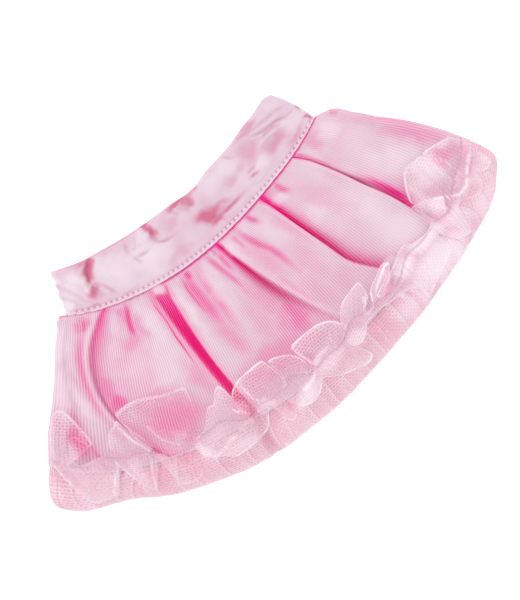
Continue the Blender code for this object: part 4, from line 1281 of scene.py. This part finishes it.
class TUTU_OT_ruffle(bpy.types.Operator):
    """Make the net ruffle: a strip gathered along its middle, with two free edges in lobes"""

    bl_idname = "tutu.ruffle"
    bl_label = "Ruffle"

    def execute(self, context):
        net = trim_net("ruffle_net", cover=0.28, thin=0.03, between=0.31, shine=0.08, contrast=0.9)
        names = ("overskirt_net_front", "flounce_net_front")
        tree = tree_of(*(bpy.data.objects[name] for name in names))
        ground = Ground(tree, -130.0, 130.0, -70.0, 15.0, bridge=3.0)
        seam_x, (upper, lower) = ruffle_columns()
        sheet, s, down = grid_sheet("ruffle_net_front", RUFFLE_COLUMNS, 2 * RUFFLE_ROWS)
        column = np.rint(s * RUFFLE_COLUMNS).astype(int)
        side = 1.0 - 2.0 * down
        above = side >= 0.0
        out = np.interp(np.abs(side), np.linspace(0.0, 1.0, RUFFLE_ROWS + 1), RUFFLE_PLACES)
        edge = np.where(above[:, None], upper[column], lower[column])
        plan, z = ruffle_form(seam_x[column], edge, out, ground)
        place_points(sheet, plan, z)
        length = 0.5 * sum(
            np.linalg.norm(np.diff(line[:, :2], axis=0), axis=1) for line in (upper, lower)
        )
        travelled = np.concatenate([[0.0], np.cumsum(length)])
        reach = np.linalg.norm(edge[:, :2] - seam_point(seam_x)[column], axis=1)
        flat_uv(sheet, travelled[column], np.sign(side) * out * reach * 1.1)
        paint_ruffle(sheet, plan, seam_x[column], out)
        thick, slot = sizes().net_thickness, "trim_net"
        finish_piece(sheet, thick, "ruffle_front", net)
        sheet = back_sheet("ruffle_net_back", (260, 10), (0.76, 0.97), lies_at=-0.75, ripple=0.12)
        finish_piece(sheet, thick, "ruffle_back", net)
        return {"FINISHED"}


# ---------------------------------------------------------------------------------------------
# Waistband

BAND_FRONT_AT = 4.6  # height of the front's middle over the floor
BAND_BACK_AT = 0.35  # the same for the back
BAND_DEPTH = 25.0  # from the band's lower edge to its top
BAND_LENGTH = 136.0  # from side to side, along the band's middle
BAND_CUT = (165.0, 27.0)  # the satin's length and width on its UV map
STITCH_LINE = 0.062  # w of the edge stitching, w being the share of the way up the band
STITCHED = 141.0  # length of the stitched line
TOP_RADIUS = 1.8  # of the fold along the band's top
SIDE_RADIUS = 1.5
PUCKERS = 70.0  # how many small gathers stand along the stitches

# The band's creases and patches: what deepens the colour is painted shade, what lightens it painted
# highlight.
BAND_CREASES = table(
    Crease,
    ([(-46.4, 57.5), (-48.6, 53), (-51.4, 49), (-53.8, 45), (-53, 42), (-51.5, 38)], 1.1, 1.6, 1),
    ([(-50.5, 49), (-51.6, 46), (-51.6, 43), (-50, 38.5)], 0.63, -0.7, 0),
    ([(-65, 52.5), (-62.5, 48), (-60.5, 43.5), (-58.5, 39.5), (-56, 36)], 0.99, 1, 0.35),
    ([(-59, 42), (-57.5, 38), (-54.5, 35.5)], 0.63, -0.5, 0),
    ([(-50, 43.5), (-47.8, 39.5), (-45.5, 34)], 0.72, 0.8, 0.42),
    ([(-44, 44), (-41, 37)], 1.1, 0.4, 0.11),
    ([(-30.2, 50.5), (-31.2, 47.5), (-31, 44.5)], 0.81, 0.7, 0.28),
    ([(-30.6, 43.5), (-29.8, 41), (-29, 38)], 0.63, 0.7, 0.42),
    ([(-29.5, 41.8), (-26, 41.7), (-22, 41.1)], 0.54, 0.7, 0.56),
    ([(-28.8, 49), (-28.2, 46.3), (-26.5, 48.5), (-25, 51.5)], 0.54, -0.6, 0),
    ([(-29.5, 43.6), (-24, 43.2)], 0.72, -0.5, 0),
    ([(-17, 51), (-17.8, 47.5), (-18.6, 44.5), (-17.6, 42), (-15, 40.5),
      (-9, 40)], 0.72, 0.9, 0.56),
    ([(-15.5, 48), (-16.5, 44.5), (-14, 42.3)], 0.99, -0.5, 0),
    ([(-60, 58.6), (-54, 56), (-48, 54.9), (-40, 54), (-30, 52.4), (-22, 52.2)], 0.54, 0, 0.56),
    ([(-6, 51), (-4.5, 47.5), (-2.5, 45)], 0.72, 0.5, 0.28),
    ([(0.5, 51), (1.5, 47), (3, 44)], 0.72, 0.5, 0.35),
    ([(4, 50), (4.5, 46)], 0.63, 0.4, 0.21),
    ([(9, 34.5), (15, 35.2), (20, 35.8), (26, 36.5)], 0.99, 0.8, 0.77),
    ([(14, 33), (22, 33.6), (30, 35)], 0.9, -0.4, 0),
    ([(26.5, 56), (28.5, 53.5), (32, 50.5)], 0.54, 0.5, 0.31),
    ([(33, 57.2), (40, 56.6), (45, 56.4), (52, 56.6), (57, 57), (66, 56)], 0.72, 0.6, 0.24),
    ([(42, 55.4), (50, 54.9), (58, 54.9), (65, 54.6)], 1.1, -0.8, -0.2),
    ([(40, 55.6), (44, 54), (48, 53.2), (56, 53.4), (60, 52.2), (64, 52.6),
      (67, 53.6)], 0.54, 0.8, 0.34),
    ([(45, 50.6), (49, 52), (53, 52.3), (57, 50.8)], 0.81, 0.6, 0.42),
    ([(40, 45), (43, 48.5), (47, 50.2), (55, 50), (60, 49)], 0.9, -0.6, 0),
    ([(28, 38.5), (34, 36.8), (40, 38.5)], 0.81, -0.4, 0),
    ([(31, 42), (35, 42.9), (37.5, 42.6)], 0.63, 0.5, 0.35),
    ([(31.5, 40), (34, 40.4), (37, 40)], 0.63, 0.6, 0.63),
    ([(66.6, 54.5), (67.2, 51)], 0.63, 0.3, 1),
    ([(66, 47.4), (68.2, 47.2), (69.3, 43.8)], 0.63, 0.5, 1),
)
BAND_PATCHES = table(
    Patch,
    (-50.5, 54.5, 4.5, 2.2, -20, 0.4, 0.6), (-42, 53.2, 6, 1.6, -10, 0.2, 0.25),
    (-49, 51.5, 2.8, 5.6, -28, 0.5, 1.4), (-53.8, 41, 3.6, 3, 20, 0.8, 0.75),
    (-59, 36.6, 3.5, 1, -20, 0.2, 0.375), (-61, 47, 4, 7, 25, -0.5, -0.25),
    (-57.5, 50, 3.5, 5, 20, -0.9, -0.25), (-41, 44, 9, 8, 0, 0, -0.22),
    (-24, 40, 9, 7, 0, 0, -0.18), (24, 50, 9, 4, 12, 0, -0.15),
    (60, 49, 6, 4, 0, 0, -0.12), (-45, 47, 4, 5.5, 10, -0.7, -0.16),
    (-36, 45, 5, 5, 0, 0.3, 0.0625), (-40, 32.2, 5, 1, -12, 0.2, 0.188),
    (-26, 34, 4, 5, 0, -0.3, -0.16), (-18.2, 51.6, 2.4, 1.5, 0, 0.7, 0.95),
    (-22.5, 47, 3, 3.5, 0, -0.7, -0.128), (-9, 45, 6, 3.4, 0, 0.5, 0.2),
    (-12, 32, 7, 2.4, 0, 0.2, 0.175), (-0.5, 51, 7.5, 2, 0, 0.6, 0.938),
    (3.4, 49, 3.6, 3.4, 0, 0.4, 0.8), (-17.8, 48, 2.4, 5.4, 0, 0.3, 0.95),
    (-64.5, 55.5, 2.2, 3, 0, 0, -0.3), (-67, 43.5, 2.5, 4, 0, 0, -0.3),
    (-55, 45.5, 1.6, 3, 0, 0, -0.3), (1, 48, 5, 3, 0, 0.3, 0.375),
    (8.8, 51.2, 1.6, 1, 0, 0.3, 0.625), (7.5, 38, 6.4, 3.4, -8, 0.9, 0.95),
    (9.5, 34.3, 4.4, 2.2, 0, 0.8, 0.875), (14.5, 38.6, 5, 1.4, 0, 0.3, 0.438),
    (8, 45, 4.5, 3, 0, -0.3, 0.0625), (16, 48, 6, 4, 10, -0.4, -0.096),
    (24, 44.5, 4.4, 2.6, 10, 0.5, 0.275), (38, 50, 5.6, 4.8, 0, 0.6, 0.38),
    (40, 57, 6, 1.4, 0, 0.2, 0.312), (44.5, 59, 4, 1.7, 15, 0.4, 0.438),
    (50.5, 46.4, 7, 3.2, 12, 0.8, 0.46), (58, 59.5, 5, 2.4, 0, -0.4, -0.08),
    (31, 46, 2.4, 2.4, 0, 0.2, 0.188), (60, 43.5, 6, 1.4, 22, 0.3, 0.275),
    (40, 41.5, 4, 2.6, 20, -0.4, -0.16),
)
# How far the band's top edge lies above its plain curve, along u.
TOP_EDGE_AT = (0.0, 0.07, 0.12, 0.19, 0.35, 0.48, 0.54, 0.59, 0.65, 0.78, 0.85, 0.9, 0.96, 1.0)
TOP_EDGE_RISE = (0.8, 0.2, 0.1, 0.8, 1.0, 0.6, -0.6, -0.7, 0.8, 1.0, 2.0, 1.7, 2.5, 1.6)
# How much painted shade lies along the band's top fold, along u.
TOP_SHADE_AT = (0.0, 0.05, 0.12, 0.3, 0.38, 0.42, 0.45, 0.56, 0.6, 0.7, 1.0)
TOP_SHADE = (0.1, 0.5, 0.6, 0.4, 0.5, 0.1, 0.4, 0.6, 0.2, 0.1, 0.1)


def rounded_off(share):
    """The height of a quarter round: 0 at its edge, and 1 from its radius inwards."""
    return np.sqrt(1.0 - (1.0 - np.clip(share, 0.0, 1.0)) ** 2)


def stitch_count():
    """How many stitches the row along the band has."""
    return round(STITCHED * MM / sizes().stitch_pitch)


def band_surface(u, w, creased):
    """The waistband's plan points, height over its own middle, rounding, painted shade and
    highlight.
    """
    plan = through(BAND_SECTIONS, w, u)
    plan[..., 1] += np.interp(u, TOP_EDGE_AT, TOP_EDGE_RISE) * w**3
    corner = smooth(0.965, 1.0, u) * smooth(0.7, 1.0, w)
    plan[..., 0] += 0.5 * smooth(0.9, 1.0, u) * np.sin(pi * w) - 0.3 * corner
    plan[..., 1] -= 0.9 * corner
    plan[..., 0] += 1.3 * smooth(0.12, 0.0, u) * np.sin(pi * np.minimum(1.5 * w, 1.0))
    ragged = smooth(0.03, 0.0, u)
    waves = 0.5 * np.sin(2.0 * pi * 1.7 * w + 0.6) + 0.2 * np.sin(2.0 * pi * 4.3 * w)
    plan[..., 0] += ragged * waves
    depth, tint, light = pressed(BAND_CREASES, BAND_PATCHES, plan)
    from_top = (1.0 - w) * BAND_DEPTH
    from_side = np.minimum(u, 1.0 - u) * BAND_LENGTH
    rounded = rounded_off(from_top / TOP_RADIUS) * rounded_off(from_side / SIDE_RADIUS)
    puckers = 0.16 * np.sin(2.0 * pi * PUCKERS * u + 2.0 * np.sin(2.0 * pi * 6.0 * u))
    seam_line = np.exp(-(((w - STITCH_LINE) * BAND_DEPTH / 0.7) ** 2))
    relief = 0.45 * seam_line + puckers * np.exp(-w / 0.12) * (1.0 - seam_line)
    height = -relief - 0.25 * (1.0 - smooth(0.0, 0.02, w)) - (depth if creased else 0.3 * depth)
    # Painted shade in the needle holes between the stitches and along the band's top fold.
    holes = (0.5 + 0.5 * np.cos(2.0 * pi * u * stitch_count())) ** 4
    tint = np.maximum(tint, 0.85 * seam_line * holes)
    tint = np.maximum(tint, smooth(0.955, 0.985, w) * np.interp(u, TOP_SHADE_AT, TOP_SHADE))
    # Painted highlight along the band's lower lip.
    light = np.maximum(light, 0.2 * smooth(0.042, 0.025, w))
    return plan, height, rounded, tint, light


class TUTU_OT_waistband(bpy.types.Operator):
    """Make the satin casing of the waistband, front and back"""

    bl_idname = "tutu.waistband"
    bl_label = "Waistband"

    def execute(self, context):
        band, shade, pale = colours().band, colours().band_shade, colours().band_highlight
        satin = satin_material("band_satin", band, shade, pale, 0.38)
        thick, slot = sizes().satin_thickness, "band_satin"
        sheet, u, down = grid_sheet("waistband_satin_front", 340, 80)
        w = 1.0 - down
        plan, height, rounded, tint, light = band_surface(u, w, creased=True)
        z = lerp(2.5, BAND_FRONT_AT, rounded) + height * rounded + 0.5 * np.sin(5.0 * pi * u) * w
        place_points(sheet, plan, z)
        flat_uv(sheet, u * BAND_CUT[0], w * BAND_CUT[1])
        # Painted shade, and painted highlight that gives off a little painted light.
        paint(sheet, "glow", np.clip(tint, 0.0, 1.0))
        paint(sheet, "edge", 2.2 * light)
        finish_piece(sheet, thick, "waistband_front", satin)
        sheet, u, down = grid_sheet("waistband_satin_back", 200, 30)
        w = 1.0 - down
        plan, height, rounded, tint, light = band_surface(u, w, creased=False)
        z = lerp(2.3, BAND_BACK_AT, rounded) - 0.3 * height * rounded
        place_points(sheet, plan, np.clip(z, 0.2, 2.4))
        flat_uv(sheet, u * BAND_CUT[0], w * BAND_CUT[1])
        # The back has weaker painted shade and painted highlight.
        paint(sheet, "glow", 0.15 * tint)
        paint(sheet, "edge", light)
        finish_piece(sheet, thick, "waistband_back", satin)
        return {"FINISHED"}


THREAD_SHADE = (0.84, 0.62, 0.72, 1.0)
# A stitch's half length as a share of the stitches' distance, its half width and half height.
STITCH_FORM = (0.36, 0.32, 0.22)


class TUTU_OT_stitches(bpy.types.Operator):
    """Make the row of machine stitches along the waistband's lower edge"""

    bl_idname = "tutu.stitches"
    bl_label = "Stitches"

    def execute(self, context):
        material, tree, shader = new_material("sewing_thread", 0.5)
        twist = noise(tree, 2500.0, 1.0)
        shade = blend_colours(tree, twist, THREAD_SHADE, colours().thread)
        feed(tree, shader.inputs["Base Color"], shade)
        feed(tree, shader.inputs["Normal"], bump(tree, twist, 0.00005, 0.5))
        surface = tree_of(bpy.data.objects["waistband_satin_front"])
        pitch, count = sizes().stitch_pitch / MM, stitch_count()
        stitches = []
        for number in range(1, count - 1):
            u = (number + 0.5 + np.array([-0.31, 0.31])) / count
            x, y = through(BAND_SECTIONS, np.full_like(u, STITCH_LINE), u).T
            z = heights_under(surface, np.array([[x.mean(), y.mean()]]))[0] + 0.12
            stitches.append(self.stitch(x, y, z, pitch))
        deselect_all()
        for stitch in stitches:
            stitch.select_set(True)
        bpy.context.view_layer.objects.active = stitches[0]
        bpy.ops.object.join()
        row = bpy.context.object
        row.name = row.data.name = "waistband_stitches"
        row.data.materials.clear()
        row.data.materials.append(material)
        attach(row, "root")
        return {"FINISHED"}

    def stitch(self, x, y, z, pitch):
        """One stitch: a short thick thread with rounded ends, lying along the seam."""
        deselect_all()
        bpy.ops.mesh.primitive_uv_sphere_add(
            segments=8, ring_count=6, radius=1.0, location=(0.0, 0.0, 0.0)
        )
        stitch = bpy.context.object
        angle = np.arctan2(y[1] - y[0], x[1] - x[0])
        length, width, height = STITCH_FORM
        stitch.scale = (length * pitch * MM, width * MM, height * MM)
        stitch.rotation_euler = (0.0, 0.0, float(angle))
        stitch.location = Vector((x.mean(), y.mean(), z)) * MM
        bpy.ops.object.transform_apply(location=True, rotation=True, scale=True)
        bpy.ops.object.shade_smooth()
        return stitch


# ---------------------------------------------------------------------------------------------
# Stage

CAMERA_TURN = -37.0  # degrees: the skirt lies turned to the frame
CAMERA_OVER = (2.6, -5.4, 6.0)  # the point in the middle of the view
VIEW_HEIGHT = 264.0  # of the longer side of the view, at that point
LENS = 85.0
SENSOR = 36.0
# The lamps: where each stands, the side of its square and its power, in metres and watts.
LAMPS = {"key_light": ((-0.5, 0.75, 1.1), 1.0, 5.5), "fill_light": ((0.7, -0.4, 1.0), 1.2, 2.0)}
SKY = (1.0, 0.985, 0.99, 1.0)
SKY_STRENGTH = 0.82
FLOOR_SIDE = 6.0  # metres
FLOOR_GLOW = 0.42


class TUTU_OT_stage(bpy.types.Operator):
    """Make the floor, the lights and the camera"""

    bl_idname = "tutu.stage"
    bl_label = "Stage"

    def execute(self, context):
        self.floor()
        for name, lamp in LAMPS.items():
            self.light(name, *lamp)
        world = bpy.data.worlds.new("sky")
        context.scene.world = world
        world.use_nodes = True
        sky = world.node_tree.nodes["Background"]
        sky.inputs["Color"].default_value = SKY
        sky.inputs["Strength"].default_value = SKY_STRENGTH
        data = bpy.data.cameras.new("camera")
        data.lens = LENS
        data.sensor_width = SENSOR
        data.clip_start = 0.01
        camera = bpy.data.objects.new("camera", data)
        context.scene.collection.objects.link(camera)
        distance = VIEW_HEIGHT * LENS / SENSOR
        x, y, z = CAMERA_OVER
        camera.location = Vector((x, y, z + distance)) * MM
        camera.rotation_euler = (0.0, 0.0, radians(CAMERA_TURN))
        context.scene.camera = camera
        context.scene.view_settings.view_transform = "Standard"
        context.scene.cycles.transparent_max_bounces = 32
        return {"FINISHED"}

    def floor(self):
        """A plain pale floor, wide enough to fill the view from any side."""
        deselect_all()
        bpy.ops.mesh.primitive_plane_add(size=FLOOR_SIDE)
        floor = bpy.context.object
        floor.name = "floor"
        material, tree, shader = new_material("floor_paper", 0.9)
        grain = ease(tree, noise(tree, 900.0), 0.4, 0.6, 0.0, 1.0)
        shader.inputs["Base Color"].default_value = colours().floor
        shader.inputs["Emission Color"].default_value = (1.0, 1.0, 1.0, 1.0)
        shader.inputs["Emission Strength"].default_value = FLOOR_GLOW
        feed(tree, shader.inputs["Normal"], bump(tree, grain, 0.00002, 0.2))
        floor.data.materials.append(material)

    def light(self, name, place, size, power):
        """A soft square lamp that points at the skirt."""
        data = bpy.data.lights.new(name, "AREA")
        data.size = size
        data.energy = power
        lamp = bpy.data.objects.new(name, data)
        lamp.location = place
        lamp.rotation_euler = (-Vector(place)).to_track_quat("-Z", "Y").to_euler()
        bpy.context.scene.collection.objects.link(lamp)


# ---------------------------------------------------------------------------------------------
# Panel and registration


class TUTU_PT_panel(bpy.types.Panel):
    """The skirt's pieces and settings"""

    bl_idname = "TUTU_PT_panel"
    bl_label = "Doll's tutu skirt"
    bl_space_type = "VIEW_3D"
    bl_region_type = "UI"
    bl_category = "Tutu"

    def draw(self, context):
        for settings in (context.scene.tutu_sizes, context.scene.tutu_colours):
            box = self.layout.box()
            for name in settings.__annotations__:
                box.prop(settings, name)
        for operator in OPERATORS:
            self.layout.operator(operator.bl_idname)


OPERATORS = (
    TUTU_OT_lining,
    TUTU_OT_overskirt,
    TUTU_OT_flounce,
    TUTU_OT_ruffle,
    TUTU_OT_waistband,
    TUTU_OT_stitches,
    TUTU_OT_stage,
)
CLASSES = (TutuSizes, TutuColours, *OPERATORS, TUTU_PT_panel)


def register():
    for cls in CLASSES:
        bpy.utils.register_class(cls)
    bpy.types.Scene.tutu_sizes = bpy.props.PointerProperty(type=TutuSizes)
    bpy.types.Scene.tutu_colours = bpy.props.PointerProperty(type=TutuColours)


def unregister():
    del bpy.types.Scene.tutu_colours
    del bpy.types.Scene.tutu_sizes
    for cls in reversed(CLASSES):
        bpy.utils.unregister_class(cls)


def main():
    register()
    bpy.ops.tutu.lining()
    bpy.ops.tutu.overskirt()
    bpy.ops.tutu.flounce()
    bpy.ops.tutu.ruffle()
    bpy.ops.tutu.waistband()
    bpy.ops.tutu.stitches()
    bpy.ops.tutu.stage()


if __name__ == "__main__":
    main()
